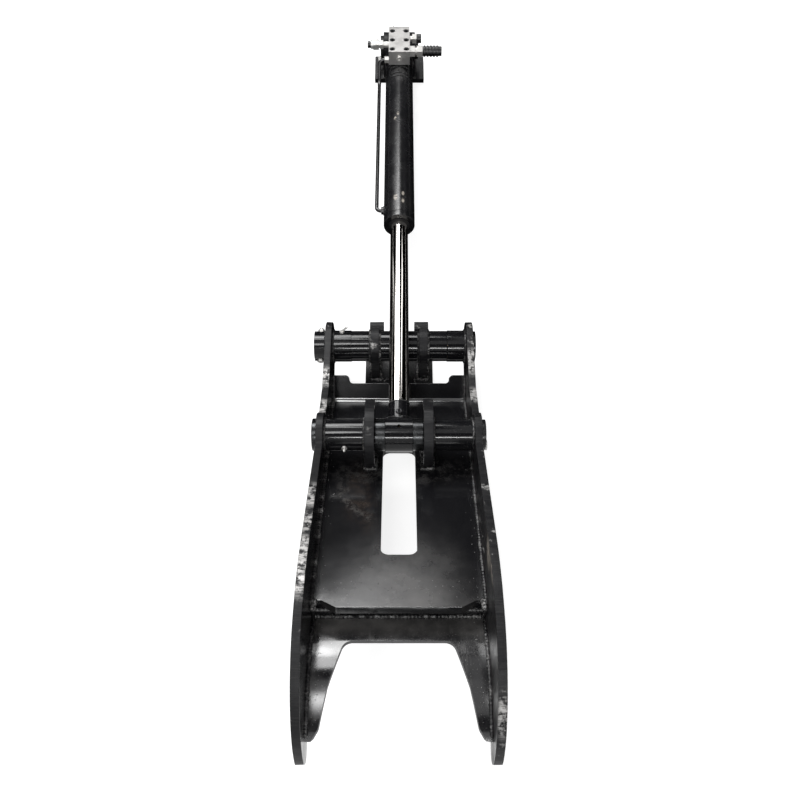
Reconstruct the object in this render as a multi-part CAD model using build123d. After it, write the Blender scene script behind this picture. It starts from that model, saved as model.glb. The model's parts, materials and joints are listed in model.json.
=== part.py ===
from build123d import *
from math import asin, atan2, cos, degrees, hypot, radians, sin, sqrt
import os

# A hydraulic thumb for an excavator: a curved grab of two plate tines that hinges on a bracket
# welded to the stick, with the cylinder that swings it and the bracket at the cylinder's base.
# Millimetres. X runs along the pins, Y from the tines to the cylinder's base, Z away from the stick.
# Both brackets are welded to the stick in the plane Z = 0. The origin is under the pivot pin.

# Linkage, with the cylinder run out to its full length
pivot_height = 125.0
base_pin_height = 115.0
eye_reach = 376.0
eye_offset = 102.0
extended_length = 1750.0
stroke = 660.0

# Clearances
fit_gap = 0.05
face_gap = 0.5

# Pins and bushes
pin_diameter = 65.0
bush_wall = 5.0
base_pin_diameter = 60.0

# Thumb: plates and width
thumb_width = 450.0
side_plate_thickness = 20.0
web_thickness = 25.0
toe_plate_thickness = 20.0
cross_plate_thickness = 16.0

# Thumb: outline of the side plates, u from the pivot towards the tips, v towards the back
pivot_end_radius = 75.0
eye_boss_radius = 62.0
back_dip_u = 190.0
back_dip_v = 62.0
hump_u = 965.0
hump_v = 344.0
hump_radius = 480.0
back_slope = 24.5
nose_radius = 258.0
nose_end_angle = 11.5
nose_lean = 8.0
nose_drop = 54.0
nose_fillet = 24.0
grip_corner_u = 150.0
grip_corner_v = -115.0
grip_corner_radius = 60.0
grip_depth = 35.0
grip_start_inset = 271.0
tip_land = 34.5

# Thumb: web plate
web_bend_u = 153.0
web_bend_v = -76.0
web_slope = 20.7
web_end_before_hump = 73.0
lip_length = 54.0
lip_rise = 32.0
lip_shoulder_height = 25.0
lip_shoulder_width = 50.5
web_bend_radius = 18.0
web_corner_width = 58.0
web_corner_flat = 24.0
web_corner_depth = 20.0
slot_width = 90.0
slot_length = 407.0
slot_before_pin = 16.0
slot_corner_radius = 20.0

# Thumb: toe plate, rolled about an axis along X, its crown below the hump of the side plates
toe_beyond_hump = 92.0
toe_below_hump = 165.0
toe_radius = 284.0
toe_start_inset = 17.5
toe_end_inset = 36.0
toe_gap_head = 100.0
toe_gap_head_half = 126.0
toe_gap_mid = 5.0
toe_gap_mid_half = 159.0
toe_gap_end_half = 176.0
toe_gap_end_inset = 26.0
toe_gap_radius = 26.0
toe_leg_radius = 28.0
toe_leg_inset = 12.0
cross_plate_inset = 14.0

# Thumb: lugs, tubes, bosses and keepers
rod_eye_width = 74.0
spacer_thickness = 28.5
spacer_wall = 12.5
lug_thickness = 27.0
lug_radius = 88.0
lug_foot_tip_side = 70.0
lug_corner_rise = 48.0
lug_flat_end = 41.0
pin_tube_wall = 11.5
pivot_boss_wall = 16.0
pivot_boss_length = 57.0
collar_length = 36.0
collar_wall = 13.5
pivot_pin_head_thickness = 10.0
pin_head_thickness = 13.0
pin_head_lip = 12.5
keeper_bolt_diameter = 12.0
keeper_head_width = 18.0
keeper_head_height = 7.9
keeper_nut_height = 10.4
keeper_thread_over = 5.0
keeper_lean = 105.0
seat_margin = 0.6
flag_thickness = 12.0
flag_width = 84.0
flag_drop = 58.0
flag_foot_radius = 22.0
flag_bolt_diameter = 16.0
flag_head_width = 26.0
flag_head_height = 10.4
nipple_spot_radius = 9.5
nipple_hexagon = 14.0
nipple_hexagon_height = 5.0
nipple_neck_radius = 3.0
nipple_height = 11.5
nipple_ball_radius = 3.6
elbow_turn = 50.0
elbow_length = 19.0
boss_nipple_lean = 25.0
tube_nipple_lean = 84.0

# Pivot bracket
pivot_tube_wall = 9.5
pivot_bush_length = 60.0
pivot_ear_thickness = 25.0
pivot_ear_gap = 124.0
pivot_ear_radius = 62.0
pivot_ear_foot_half = 60.0
pivot_pad_low = 47.0
pivot_pad_high = 90.0
pivot_pad_radius = 21.0
pivot_pad_behind = 45.0
pivot_pad_rise = 32.0
pivot_plate_width = 216.0
pivot_plate_length = 230.0
bracket_plate_thickness = 20.0

# Rod
rod_diameter = 57.0
rod_eye_wall = 10.5
rod_neck_end = 97.0
rod_neck_step = 1.0
oil_hole_diameter = 10.0
piston_length = 55.0
piston_spigot_diameter = 36.0
piston_nut_thickness = 29.0
piston_nut_width = 55.0
piston_thread_over = 5.0
piston_stop_gap = 12.0
nipple_station = 58.0
seal_width = 9.0
seal_depth = 6.0

# Cylinder
barrel_diameter = 102.0
barrel_wall = 6.5
gland_flange_length = 22.0
gland_spigot_length = 40.0
wiper_lip = 2.0
barrel_end_margin = 42.0
base_port_inset = 20.0
base_end_depth = 100.0
base_end_step = 2.0
base_end_length = 42.0
base_neck_half = 33.6
base_eye_wall = 13.0
base_eye_width = 70.0

# Valve block on the barrel
block_width = 78.0
block_length = 155.0
block_height = 54.0
pad_height = 5.0
block_overhang = 90.0
pad_width = 50.0
pad_length = 60.0
screw_diameter = 12.0
screw_head_diameter = 18.0
screw_head_height = 12.0
screw_recess_radius = 10.5
screw_recess_depth = 13.0
screw_socket = 10.0
screw_socket_depth = 6.0
screw_depth = 35.0
screw_spacing_across = 52.0
screw_spacing_along = 55.5
screw_end_distance = 17.0
screw_rows = 3
port_diameter = 14.0
fitting_height = 27.0
left_port_station = 84.0
right_port_station = 43.0
second_port_station = 121.0
plug_width = 19.0
plug_length = 8.0
plug_socket = 8.0
plug_socket_depth = 5.0
bleed_offset = 22.0
bleed_drop = 14.0
bleed_width = 14.0
bleed_hexagon_length = 6.0
bleed_radius = 5.0
bleed_length = 17.0

# Fittings on the sides of the block, from the block outwards
left_stem_radius = 11.0
left_stem_length = 21.0
left_hexagon_width = 30.0
left_hexagon_length = 12.0
left_neck_radius = 12.0
left_neck_length = 5.0
left_nut_width = 36.0
left_nut_length = 21.0
left_end_radius = 15.0
left_end_length = 9.0
left_cap_radius = 12.0
left_cap_length = 12.0
right_hexagon_width = 36.0
right_hexagon_length = 20.0
right_neck_radius = 13.0
right_neck_length = 6.0
right_nut_width = 38.0
right_nut_length = 22.0
coupling_length = 71.0
coupling_radius = 20.0
coupling_rib_height = 3.0
coupling_rib_width = 6.5
coupling_rib_start = 4.0
coupling_ribs = 5
second_stem_radius = 10.0
second_stem_length = 10.0
second_hexagon_width = 32.0
second_hexagon_length = 16.0
second_cap_radius = 16.0
second_cap_length = 18.0

# Transfer tube from the block to the rod end of the barrel
line_diameter = 12.7
line_wall = 2.0
line_clearance = 15.0
line_bend_radius = 20.0
line_sweep_radius = 45.0
line_port_bend = 14.0
line_block_inset = 15.0
line_block_height = 11.0
line_entry = 12.0
line_nut_length = 16.0
line_nut_width = 22.0
line_drop = 38.0
line_port_radius = 4.0
rod_port_boss_radius = 12.5
rod_port_boss_height = 9.0
line_socket_depth = 3.0

# Base bracket
base_ear_thickness = 25.0
base_ear_radius = 55.0
base_ear_foot_half = 62.0
base_plate_width = 196.0
base_plate_length = 132.0

# Derived places
half_width = thumb_width / 2
half_inside = half_width - side_plate_thickness
pin_radius = pin_diameter / 2
base_pin_radius = base_pin_diameter / 2
bush_radius = pin_radius + bush_wall
base_bush_radius = base_pin_radius + bush_wall
pivot_tube_radius = bush_radius + pivot_tube_wall
pivot_boss_radius = pin_radius + pivot_boss_wall
pin_tube_radius = pin_radius + pin_tube_wall
spacer_radius = pin_radius + spacer_wall
collar_radius = pin_radius + collar_wall
rod_eye_radius = bush_radius + rod_eye_wall
base_eye_radius = base_bush_radius + base_eye_wall
base_end_radius = barrel_diameter / 2 + base_end_step
bore_radius = barrel_diameter / 2 - barrel_wall
rod_radius = rod_diameter / 2
rod_neck_radius = rod_radius + rod_neck_step
base_reach = extended_length - eye_reach
base_distance = hypot(base_reach, eye_offset)
rest_tilt = degrees(atan2(eye_offset, base_reach) - asin((base_pin_height - pivot_height) / base_distance))
base_pin_y = sqrt(base_distance ** 2 - (base_pin_height - pivot_height) ** 2)
lip_shoulder_radius = lip_shoulder_height / 2
nose_centre_v = hump_v - nose_radius
nose_end_u = hump_u + nose_radius * cos(radians(nose_end_angle))
nose_end_v = nose_centre_v + nose_radius * sin(radians(nose_end_angle))
nose_corner_u = nose_end_u - nose_lean
nose_corner_v = nose_end_v - nose_drop
web_end_u = hump_u - web_end_before_hump
toe_centre_u = hump_u + toe_beyond_hump
toe_centre_v = hump_v - toe_below_hump - toe_radius
toe_start_angle = -degrees(asin((toe_centre_u - web_end_u + toe_start_inset) / toe_radius))
toe_end_angle = degrees(asin((nose_corner_u - toe_end_inset - toe_centre_u) / toe_radius))
grip_radius = toe_radius - toe_plate_thickness - grip_depth
grip_start_angle = -degrees(asin((toe_centre_u - nose_corner_u + grip_start_inset) / grip_radius))
grip_end_angle = degrees(asin((nose_corner_u - tip_land - toe_centre_u) / grip_radius))
lug_inside = rod_eye_width / 2 + spacer_thickness + face_gap
lug_outside = lug_inside + lug_thickness
pivot_tube_half = half_inside - pivot_boss_length - face_gap
barrel_back = extended_length - base_end_depth
piston_travel = stroke + piston_length + piston_nut_thickness + barrel_end_margin
barrel_front = barrel_back - piston_travel - piston_stop_gap - gland_spigot_length
gland_face = barrel_front - gland_flange_length
piston_front = barrel_front + gland_spigot_length + piston_stop_gap
piston_back = piston_front + piston_length
base_port = barrel_back - base_port_inset
rod_port = barrel_front + gland_spigot_length + piston_stop_gap / 2
port_boss_end = barrel_diameter / 2 + rod_port_boss_height
line_end = port_boss_end - line_socket_depth
line_offset = port_boss_end + line_clearance
block_front = barrel_back - block_overhang
block_lift = barrel_diameter / 2 + pad_height
line_station = block_front + line_block_inset
line_height = block_lift + line_block_height

# Frames: the thumb turns about the pivot pin, the cylinder lies along Y from the rod-eye pin
thumb_frame = Pos(0, 0, pivot_height) * Rot(-rest_tilt, 0, 0)
cylinder_frame = thumb_frame * Pos(0, -eye_reach, eye_offset)
base_frame = Pos(0, base_pin_y, base_pin_height)
outline_plane = Plane(origin=(0, 0, 0), x_dir=(0, -1, 0), z_dir=(-1, 0, 0))


def save(name, shape, frame=Pos(0, 0, 0)):
    """Puts a piece in its place and writes it as a STEP file of its own."""
    placed = frame * shape
    placed.label = name
    export_step(placed, f"parts/{name}.step")


def along_x(radius, low, high, y=0.0, z=0.0):
    """A round bar along X between two stations."""
    bar = Cylinder(radius, high - low, align=(Align.CENTER, Align.CENTER, Align.MIN))
    return Pos(low, y, z) * Rot(0, 90, 0) * bar


def along_y(radius, low, high, x=0.0, z=0.0):
    """A round bar along Y between two stations."""
    bar = Cylinder(radius, high - low, align=(Align.CENTER, Align.CENTER, Align.MIN))
    return Pos(x, low, z) * Rot(-90, 0, 0) * bar


def along_z(radius, low, high, x=0.0, y=0.0):
    """A round bar along Z between two heights."""
    bar = Cylinder(radius, high - low, align=(Align.CENTER, Align.CENTER, Align.MIN))
    return Pos(x, y, low) * bar


def hexagon_x(across_flats, low, high, y=0.0, z=0.0):
    """A hexagon bar along X between two stations."""
    outline = RegularPolygon(across_flats / 2, 6, major_radius=False)
    return Pos(low, y, z) * Rot(0, 90, 0) * extrude(outline, high - low)


def hexagon_y(across_flats, low, high, x=0.0, z=0.0):
    """A hexagon bar along Y between two stations."""
    outline = RegularPolygon(across_flats / 2, 6, major_radius=False)
    return Pos(x, low, z) * Rot(-90, 0, 0) * extrude(outline, high - low)


def hexagon_z(across_flats, low, high, x=0.0, y=0.0):
    """A hexagon bar along Z between two heights."""
    outline = RegularPolygon(across_flats / 2, 6, major_radius=False)
    return Pos(x, y, low) * extrude(outline, high - low)


def block(x_low, x_high, y_low, y_high, z_low, z_high):
    """A square-edged block between two corners."""
    solid = Box(x_high - x_low, y_high - y_low, z_high - z_low, align=(Align.MIN, Align.MIN, Align.MIN))
    return Pos(x_low, y_low, z_low) * solid


def plate(outline, x_low, x_high):
    """A plate cut to an outline drawn in u and v, between two stations along the pins."""
    return Pos(x_high, 0, 0) * extrude(outline_plane * outline, x_high - x_low, dir=(-1, 0, 0))


def polygon(points):
    """A face with straight edges through the points."""
    return make_face(Polyline(*points, close=True))


def mirrored(shape):
    """The same piece on the other side of the middle plane."""
    return mirror(shape, about=Plane.YZ)


def web_back(u):
    """Height of the web plate's back face at u."""
    return web_bend_v + (u - web_bend_u) * sin(radians(web_slope)) / cos(radians(web_slope))


def toe_point(radius, angle):
    """A point about the toe plate's axis, the angle measured from its crown towards the tips."""
    turn = radians(angle)
    return (toe_centre_u + radius * sin(turn), toe_centre_v + radius * cos(turn))


def grease_nipple():
    """A grease nipple standing on Z = 0."""
    body = hexagon_z(nipple_hexagon, 0, nipple_hexagon_height)
    body += along_z(nipple_neck_radius, 0, nipple_height)
    return body + Pos(0, 0, nipple_height) * Sphere(nipple_ball_radius)


def elbow_nipple():
    """A grease nipple on Z = 0 whose neck turns over towards +X."""
    arm = along_z(nipple_neck_radius, 0, elbow_length)
    arm += Pos(0, 0, elbow_length) * Sphere(nipple_ball_radius)
    knee = Pos(0, 0, nipple_hexagon_height) * Sphere(nipple_neck_radius)
    body = hexagon_z(nipple_hexagon, 0, nipple_hexagon_height) + knee
    return body + Pos(0, 0, nipple_hexagon_height) * Rot(0, elbow_turn, 0) * arm


def side_outline():
    """Outline of a side plate, with the round ends about the pivot pin and the rod-eye pin."""
    slope = radians(back_slope)
    slope_u = hump_u - hump_radius * sin(slope)
    slope_v = hump_v - hump_radius * (1 - cos(slope))
    run = slope_u - eye_reach - eye_boss_radius / 2
    start = (slope_u - run, slope_v - run * sin(slope) / cos(slope))
    half_turn = slope / 2
    crest = (hump_u - hump_radius * sin(half_turn), hump_v - hump_radius * (1 - cos(half_turn)))
    nose_half = radians((90 + nose_end_angle) / 2)
    nose_mid = (hump_u + nose_radius * cos(nose_half), nose_centre_v + nose_radius * sin(nose_half))
    nose_end = (nose_end_u, nose_end_v)
    grip_end = toe_point(grip_radius, grip_end_angle)
    grip_mid = toe_point(grip_radius, (grip_start_angle + grip_end_angle) / 2)
    grip_start = toe_point(grip_radius, grip_start_angle)
    corner = (nose_corner_u, nose_corner_v)
    grip_corner = (grip_corner_u, grip_corner_v)
    edges = [
        Line((0, pivot_end_radius), (back_dip_u, back_dip_v)),
        Line((back_dip_u, back_dip_v), start),
        Line(start, (slope_u, slope_v)),
        ThreePointArc((slope_u, slope_v), crest, (hump_u, hump_v)),
        ThreePointArc((hump_u, hump_v), nose_mid, nose_end),
        Line(nose_end, corner),
        Line(corner, grip_end),
        ThreePointArc(grip_end, grip_mid, grip_start),
        Line(grip_start, grip_corner),
        Line(grip_corner, (0, -pivot_end_radius)),
        Line((0, -pivot_end_radius), (0, pivot_end_radius)),
    ]
    face = make_face(edges)
    rounded = [
        (corner, nose_fillet),
        (grip_corner, grip_corner_radius),
    ]
    for (u, v), radius in rounded:
        vertex = face.vertices().sort_by_distance((u, v, 0))[0]
        face = fillet(vertex, radius)
    face += Circle(pivot_end_radius)
    face += Pos(eye_reach, eye_offset) * Circle(eye_boss_radius)
    face -= Circle(pin_radius + fit_gap)
    face -= Pos(eye_reach, eye_offset) * Circle(pin_radius + fit_gap)
    return face


def web_plate():
    """Web plate between the side plates: bent lip towards the pivot, slot, clipped corners."""
    slope = radians(web_slope)
    rise = radians(lip_rise)
    full_lip = lip_length + lip_shoulder_height
    end = (web_end_u, web_back(web_end_u))
    end_under = (end[0] + web_thickness * sin(slope), end[1] - web_thickness * cos(slope))
    lip = (web_bend_u - full_lip * cos(rise), web_bend_v + full_lip * sin(rise))
    lip_under = (lip[0] - web_thickness * sin(rise), lip[1] - web_thickness * cos(rise))
    normal_u = sin(slope) - sin(rise)
    normal_v = -cos(slope) - cos(rise)
    scale = web_thickness / (1 + cos(slope + rise))
    elbow = (web_bend_u + normal_u * scale, web_bend_v + normal_v * scale)
    face = polygon([lip, (web_bend_u, web_bend_v), end, end_under, elbow, lip_under])
    inner = face.vertices().sort_by_distance((web_bend_u, web_bend_v, 0))[0]
    face = fillet(inner, web_bend_radius)
    outer = face.vertices().sort_by_distance((elbow[0], elbow[1], 0))[0]
    face = fillet(outer, web_bend_radius + web_thickness)
    solid = plate(face, -half_inside, half_inside)

    web_plane = Plane(
        origin=(0, -web_end_u, web_back(web_end_u)),
        x_dir=(1, 0, 0),
        z_dir=(0, sin(slope), cos(slope)),
    )
    slot_top = (web_end_u - eye_reach + slot_before_pin) / cos(slope)
    slot_face = Pos(0, slot_top - slot_length / 2) * RectangleRounded(
        slot_width, slot_length, slot_corner_radius
    )
    solid -= extrude(web_plane * slot_face, 2 * web_thickness, both=True)
    clip = polygon([
        (half_inside - web_corner_width, 0),
        (half_inside - web_corner_flat, web_corner_depth),
        (half_width, web_corner_depth),
        (half_width, -web_thickness),
        (half_inside - web_corner_width, -web_thickness),
    ])
    solid -= extrude(web_plane * clip, 2 * web_thickness, both=True)
    solid -= extrude(web_plane * mirror(clip, about=Plane.YZ), 2 * web_thickness, both=True)

    lip_plane = Plane(
        origin=(0, -web_bend_u, web_bend_v),
        x_dir=(1, 0, 0),
        z_dir=(0, -sin(rise), cos(rise)),
    )
    cut_half = half_inside - lip_shoulder_width
    cut_length = 2 * lip_shoulder_height + lip_length
    lip_cut = RectangleRounded(2 * cut_half, cut_length, lip_shoulder_radius)
    cut_centre = lip_length + cut_length / 2
    solid -= extrude(lip_plane * Pos(0, cut_centre) * lip_cut, 2 * web_thickness, both=True)
    round_x = cut_half + lip_shoulder_radius
    round_y = full_lip - lip_shoulder_radius
    corner = polygon([
        (cut_half, round_y),
        (round_x, round_y),
        (round_x, full_lip),
        (cut_half, full_lip),
    ])
    corner -= Pos(round_x, round_y) * Circle(lip_shoulder_radius)
    solid -= extrude(lip_plane * corner, 2 * web_thickness, both=True)
    return solid - extrude(lip_plane * mirror(corner, about=Plane.YZ), 2 * web_thickness, both=True)


def toe_plate():
    """Rolled toe plate between the tines, with the U gap open towards the tips."""
    inner = toe_radius - toe_plate_thickness
    middle = (toe_start_angle + toe_end_angle) / 2
    face = make_face([
        ThreePointArc(
            toe_point(toe_radius, toe_start_angle),
            toe_point(toe_radius, middle),
            toe_point(toe_radius, toe_end_angle),
        ),
        Line(toe_point(toe_radius, toe_end_angle), toe_point(inner, toe_end_angle)),
        ThreePointArc(
            toe_point(inner, toe_end_angle),
            toe_point(inner, middle),
            toe_point(inner, toe_start_angle),
        ),
        Line(toe_point(inner, toe_start_angle), toe_point(toe_radius, toe_start_angle)),
    ])
    solid = plate(face, -half_inside, half_inside)
    end_u = toe_point(toe_radius, toe_end_angle)[0]
    side = [
        (toe_gap_head_half, toe_gap_head - toe_centre_u),
        (toe_gap_mid_half, -toe_gap_mid - toe_centre_u),
        (toe_gap_end_half, -end_u + toe_gap_end_inset),
        (half_inside - toe_leg_inset, -end_u),
        (half_inside - toe_leg_inset, -end_u - toe_radius),
    ]
    other = [(-x, y) for x, y in reversed(side)]
    gap = polygon(side + other)
    leg_corners = gap.vertices().sort_by(Axis.Y)[2:6]
    gap = fillet(leg_corners, toe_leg_radius)
    corners = gap.vertices().sort_by(Axis.Y)[-2:]
    gap = fillet(corners, toe_gap_radius)
    return solid - extrude(gap, 2 * toe_radius, both=True)


def cross_plate():
    """Upright plate that closes the step between the web plate's end and the toe plate."""
    outer_u = web_end_u - cross_plate_inset + web_thickness * sin(radians(web_slope))
    inner_u = outer_u - cross_plate_thickness
    under = web_thickness / cos(radians(web_slope))
    face = polygon([
        (inner_u, toe_centre_v),
        (outer_u, toe_centre_v),
        (outer_u, web_back(outer_u) - under),
        (inner_u, web_back(inner_u) - under),
    ])
    face -= Pos(toe_centre_u, toe_centre_v) * Circle(toe_radius)
    return plate(face, -half_inside, half_inside)


def lug():
    """The right lug: round about the rod-eye pin, with a corner towards the pivot and a foot on the web."""
    left = eye_reach - lug_radius
    right = eye_reach + lug_foot_tip_side
    reach = sqrt(lug_radius ** 2 - lug_foot_tip_side ** 2)
    flat_end_v = eye_offset + sqrt(lug_radius ** 2 - lug_flat_end ** 2)
    face = polygon([
        (eye_reach - lug_flat_end, flat_end_v),
        (left, eye_offset + lug_corner_rise),
        (left, web_back(left)),
        (right, web_back(right)),
        (right, eye_offset - reach),
        (eye_reach, eye_offset),
    ])
    face += Pos(eye_reach, eye_offset) * Circle(lug_radius)
    face -= polygon([
        (web_bend_u, web_bend_v),
        (web_end_u, web_back(web_end_u)),
        (web_end_u, web_bend_v),
    ])
    face -= Pos(eye_reach, eye_offset) * Circle(pin_radius + fit_gap)
    return plate(face, lug_inside, lug_outside)


def ring_x(outer, inner, low, high, y=0.0, z=0.0):
    """A ring along X between two stations."""
    return along_x(outer, low, high, y, z) - along_x(inner, low, high, y, z)


def ring_y(outer, inner, low, high):
    """A ring along Y between two stations."""
    return along_y(outer, low, high) - along_y(inner, low, high)


def pivot_bracket():
    """Bracket under the pivot: base plate, two ears with pads behind, the tube and its bushes."""
    save("pivot_base_plate", block(
        -pivot_plate_width / 2, pivot_plate_width / 2,
        -pivot_plate_length / 2, pivot_plate_length / 2,
        0, bracket_plate_thickness,
    ))
    foot = bracket_plate_thickness - pivot_height
    ear_face = polygon([
        (-pivot_ear_radius, 0),
        (-pivot_ear_foot_half, foot),
        (pivot_ear_foot_half, foot),
        (pivot_ear_radius, 0),
    ])
    ear_face += Circle(pivot_ear_radius)
    ear_face -= polygon([
        (-pivot_ear_radius, foot),
        (-pivot_ear_radius, foot - pivot_ear_radius),
        (pivot_ear_radius, foot - pivot_ear_radius),
        (pivot_ear_radius, foot),
    ])
    ear_face -= Circle(pivot_tube_radius + fit_gap)
    ear = plate(ear_face, pivot_ear_gap / 2, pivot_ear_gap / 2 + pivot_ear_thickness)
    ear += along_x(pivot_pad_radius, pivot_pad_low, pivot_pad_high, pivot_pad_behind, pivot_pad_rise)
    ear -= along_x(pivot_tube_radius + fit_gap, 0, pivot_plate_width)
    at_pivot = Pos(0, 0, pivot_height)
    save("pivot_ear_right", ear, at_pivot)
    save("pivot_ear_left", mirrored(ear), at_pivot)
    tube_bore = bush_radius + fit_gap
    save("pivot_tube", ring_x(pivot_tube_radius, tube_bore, -pivot_tube_half, pivot_tube_half), at_pivot)
    bush = ring_x(
        bush_radius, pin_radius + fit_gap,
        pivot_tube_half - pivot_bush_length, pivot_tube_half,
    )
    save("pivot_bush_right", bush, at_pivot)
    save("pivot_bush_left", mirrored(bush), at_pivot)


def thumb_plates():
    """The welded plates of the thumb."""
    right = plate(side_outline(), half_inside, half_width)
    bolt_hole = along_x(
        flag_bolt_diameter / 2 + fit_gap, half_inside, half_width,
        -eye_reach, eye_offset - flag_drop,
    )
    save("side_plate_right", right - bolt_hole, thumb_frame)
    save("side_plate_left", mirrored(right), thumb_frame)
    save("web_plate", web_plate(), thumb_frame)
    save("toe_plate", toe_plate(), thumb_frame)
    save("cross_plate", cross_plate(), thumb_frame)
    ear = lug()
    save("lug_right", ear, thumb_frame)
    save("lug_left", mirrored(ear), thumb_frame)


def nipple_seat(radius):
    """Height of the flat for a grease nipple on a round of the given radius."""
    return sqrt(radius ** 2 - nipple_spot_radius ** 2)


def nipple_spot(radius):
    """The flat for a grease nipple, as the stock that it takes off the top of a round."""
    return along_z(nipple_spot_radius, nipple_seat(radius), 2 * radius)


def thumb_rings():
    """Bosses, tubes and spacers on the thumb's two pin axes, with the grease nipples on the left."""
    hole = pin_radius + fit_gap
    boss = ring_x(pivot_boss_radius, hole, half_inside - pivot_boss_length, half_inside)
    boss_spot = Pos(-half_inside + pivot_boss_length / 2, 0, 0) * Rot(-boss_nipple_lean, 0, 0)
    save("pivot_boss_right", boss, thumb_frame)
    save("pivot_boss_left", mirrored(boss) - boss_spot * nipple_spot(pivot_boss_radius), thumb_frame)
    tube = ring_x(pin_tube_radius, hole, lug_outside, half_inside)
    tube_spot = Pos(-(lug_outside + half_inside) / 2, 0, 0) * Rot(tube_nipple_lean, 0, 0)
    save("pin_tube_right", tube, cylinder_frame)
    save("pin_tube_left", mirrored(tube) - tube_spot * nipple_spot(pin_tube_radius), cylinder_frame)
    boss_nipple = boss_spot * Pos(0, 0, nipple_seat(pivot_boss_radius)) * elbow_nipple()
    tube_nipple = tube_spot * Pos(0, 0, nipple_seat(pin_tube_radius)) * grease_nipple()
    to_tube = Pos(0, -eye_reach, eye_offset)
    save("thumb_nipples", Compound([boss_nipple, to_tube * tube_nipple]), thumb_frame)
    spacer = ring_x(spacer_radius, hole, lug_inside - spacer_thickness, lug_inside)
    save("spacer_right", spacer, cylinder_frame)
    save("spacer_left", mirrored(spacer), cylinder_frame)


def pivot_pin():
    """Pivot pin: head on the right, held on the left by a bolt through a collar."""
    turn = Rot(keeper_lean, 0, 0)
    collar_end = -half_width - collar_length
    bolt_x = collar_end + collar_length / 2
    bolt_radius = keeper_bolt_diameter / 2
    bolt_hole = turn * along_z(bolt_radius + fit_gap, -2 * collar_radius, 2 * collar_radius, bolt_x)
    pin = along_x(pin_radius, collar_end, half_width)
    pin += along_x(collar_radius, half_width, half_width + pivot_pin_head_thickness)
    save("pivot_pin", pin - bolt_hole, thumb_frame)
    collar = ring_x(collar_radius, pin_radius + fit_gap, collar_end, -half_width)
    seat_radius = keeper_head_width / sqrt(3) + seat_margin
    flat_half = sqrt(collar_radius ** 2 - seat_radius ** 2)
    for side in (-1, 1):
        spot = along_z(seat_radius, flat_half, 2 * collar_radius, bolt_x)
        collar -= turn * (spot if side > 0 else mirror(spot, about=Plane.XY))
    save("pivot_pin_collar", collar - bolt_hole, thumb_frame)
    nut_end = -flat_half - keeper_nut_height
    bolt = along_z(bolt_radius, nut_end - keeper_thread_over, flat_half, bolt_x)
    bolt += hexagon_z(keeper_head_width, flat_half, flat_half + keeper_head_height, bolt_x)
    save("pivot_keeper_bolt", bolt, thumb_frame * turn)
    nut = hexagon_z(keeper_head_width, nut_end, -flat_half, bolt_x)
    nut -= along_z(bolt_radius + fit_gap, -2 * flat_half, 0, bolt_x)
    save("pivot_keeper_nut", nut, thumb_frame * turn)


def keeper_flag(pin_r, seat):
    """A flag that fits over a pin's end, seated at x = seat, with its bolt hole below the pin."""
    outline = Circle(flag_width / 2) + Pos(0, -flag_drop) * Circle(flag_foot_radius)
    outline += polygon([
        (-flag_foot_radius, 0),
        (flag_foot_radius, 0),
        (flag_foot_radius, -flag_drop),
        (-flag_foot_radius, -flag_drop),
    ])
    outline -= Circle(pin_r + fit_gap)
    outline -= Pos(0, -flag_drop) * Circle(flag_bolt_diameter / 2 + fit_gap)
    return plate(outline, seat, seat + flag_thickness)


def flag_bolt(seat, depth):
    """The hexagon bolt of a flag, screwed into the plate behind it."""
    outside = seat + flag_thickness
    bolt = along_x(flag_bolt_diameter / 2, seat - depth, outside, 0, -flag_drop)
    return bolt + hexagon_x(flag_head_width, outside, outside + flag_head_height, 0, -flag_drop)


def rod_pin():
    """Rod-eye pin: head on the left, flag and bolt on the right."""
    pin = along_x(pin_radius, -half_width, half_width + flag_thickness)
    pin += along_x(pin_radius + pin_head_lip, -half_width - pin_head_thickness, -half_width)
    save("rod_pin", pin, cylinder_frame)
    save("rod_pin_flag", keeper_flag(pin_radius, half_width), cylinder_frame)
    save("rod_pin_bolt", flag_bolt(half_width, side_plate_thickness), cylinder_frame)


def rod_end():
    """Rod eye with its welded neck, its bush and its grease nipple."""
    half_eye = rod_eye_width / 2
    oil_hole = along_z(oil_hole_diameter / 2, 0, 2 * rod_eye_radius)
    neck = along_y(rod_neck_radius, 0, rod_neck_end)
    neck -= Pos(0, nipple_station, 0) * nipple_spot(rod_neck_radius)
    eye = along_x(rod_eye_radius, -half_eye, half_eye) + neck
    eye -= along_x(bush_radius + fit_gap, -half_eye, half_eye)
    save("rod_eye", eye - oil_hole, cylinder_frame)
    bush = ring_x(bush_radius, pin_radius + fit_gap, -half_eye, half_eye)
    save("rod_eye_bush", bush - oil_hole, cylinder_frame)
    seat = nipple_seat(rod_neck_radius)
    save("rod_eye_nipple", Pos(0, nipple_station, seat) * grease_nipple(), cylinder_frame)


def rod_and_piston():
    """Chromed rod, with the piston, its seal and its nut inside the barrel."""
    spigot = piston_spigot_diameter / 2
    thread_end = piston_back + piston_nut_thickness + piston_thread_over
    rod = along_y(rod_radius, rod_neck_end, piston_front)
    save("rod", rod + along_y(spigot, piston_front, thread_end), cylinder_frame)
    groove_low = (piston_front + piston_back - seal_width) / 2
    groove_high = groove_low + seal_width
    outside = bore_radius - fit_gap
    groove_floor = outside - seal_depth
    piston = ring_y(outside, spigot + fit_gap, piston_front, piston_back)
    piston -= ring_y(bore_radius, groove_floor - fit_gap, groove_low, groove_high)
    save("piston", piston, cylinder_frame)
    save("piston_seal", ring_y(outside, groove_floor, groove_low, groove_high), cylinder_frame)
    nut = hexagon_y(piston_nut_width, piston_back, piston_back + piston_nut_thickness)
    nut -= along_y(spigot + fit_gap, piston_front, thread_end)
    save("piston_nut", nut, cylinder_frame)


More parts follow.
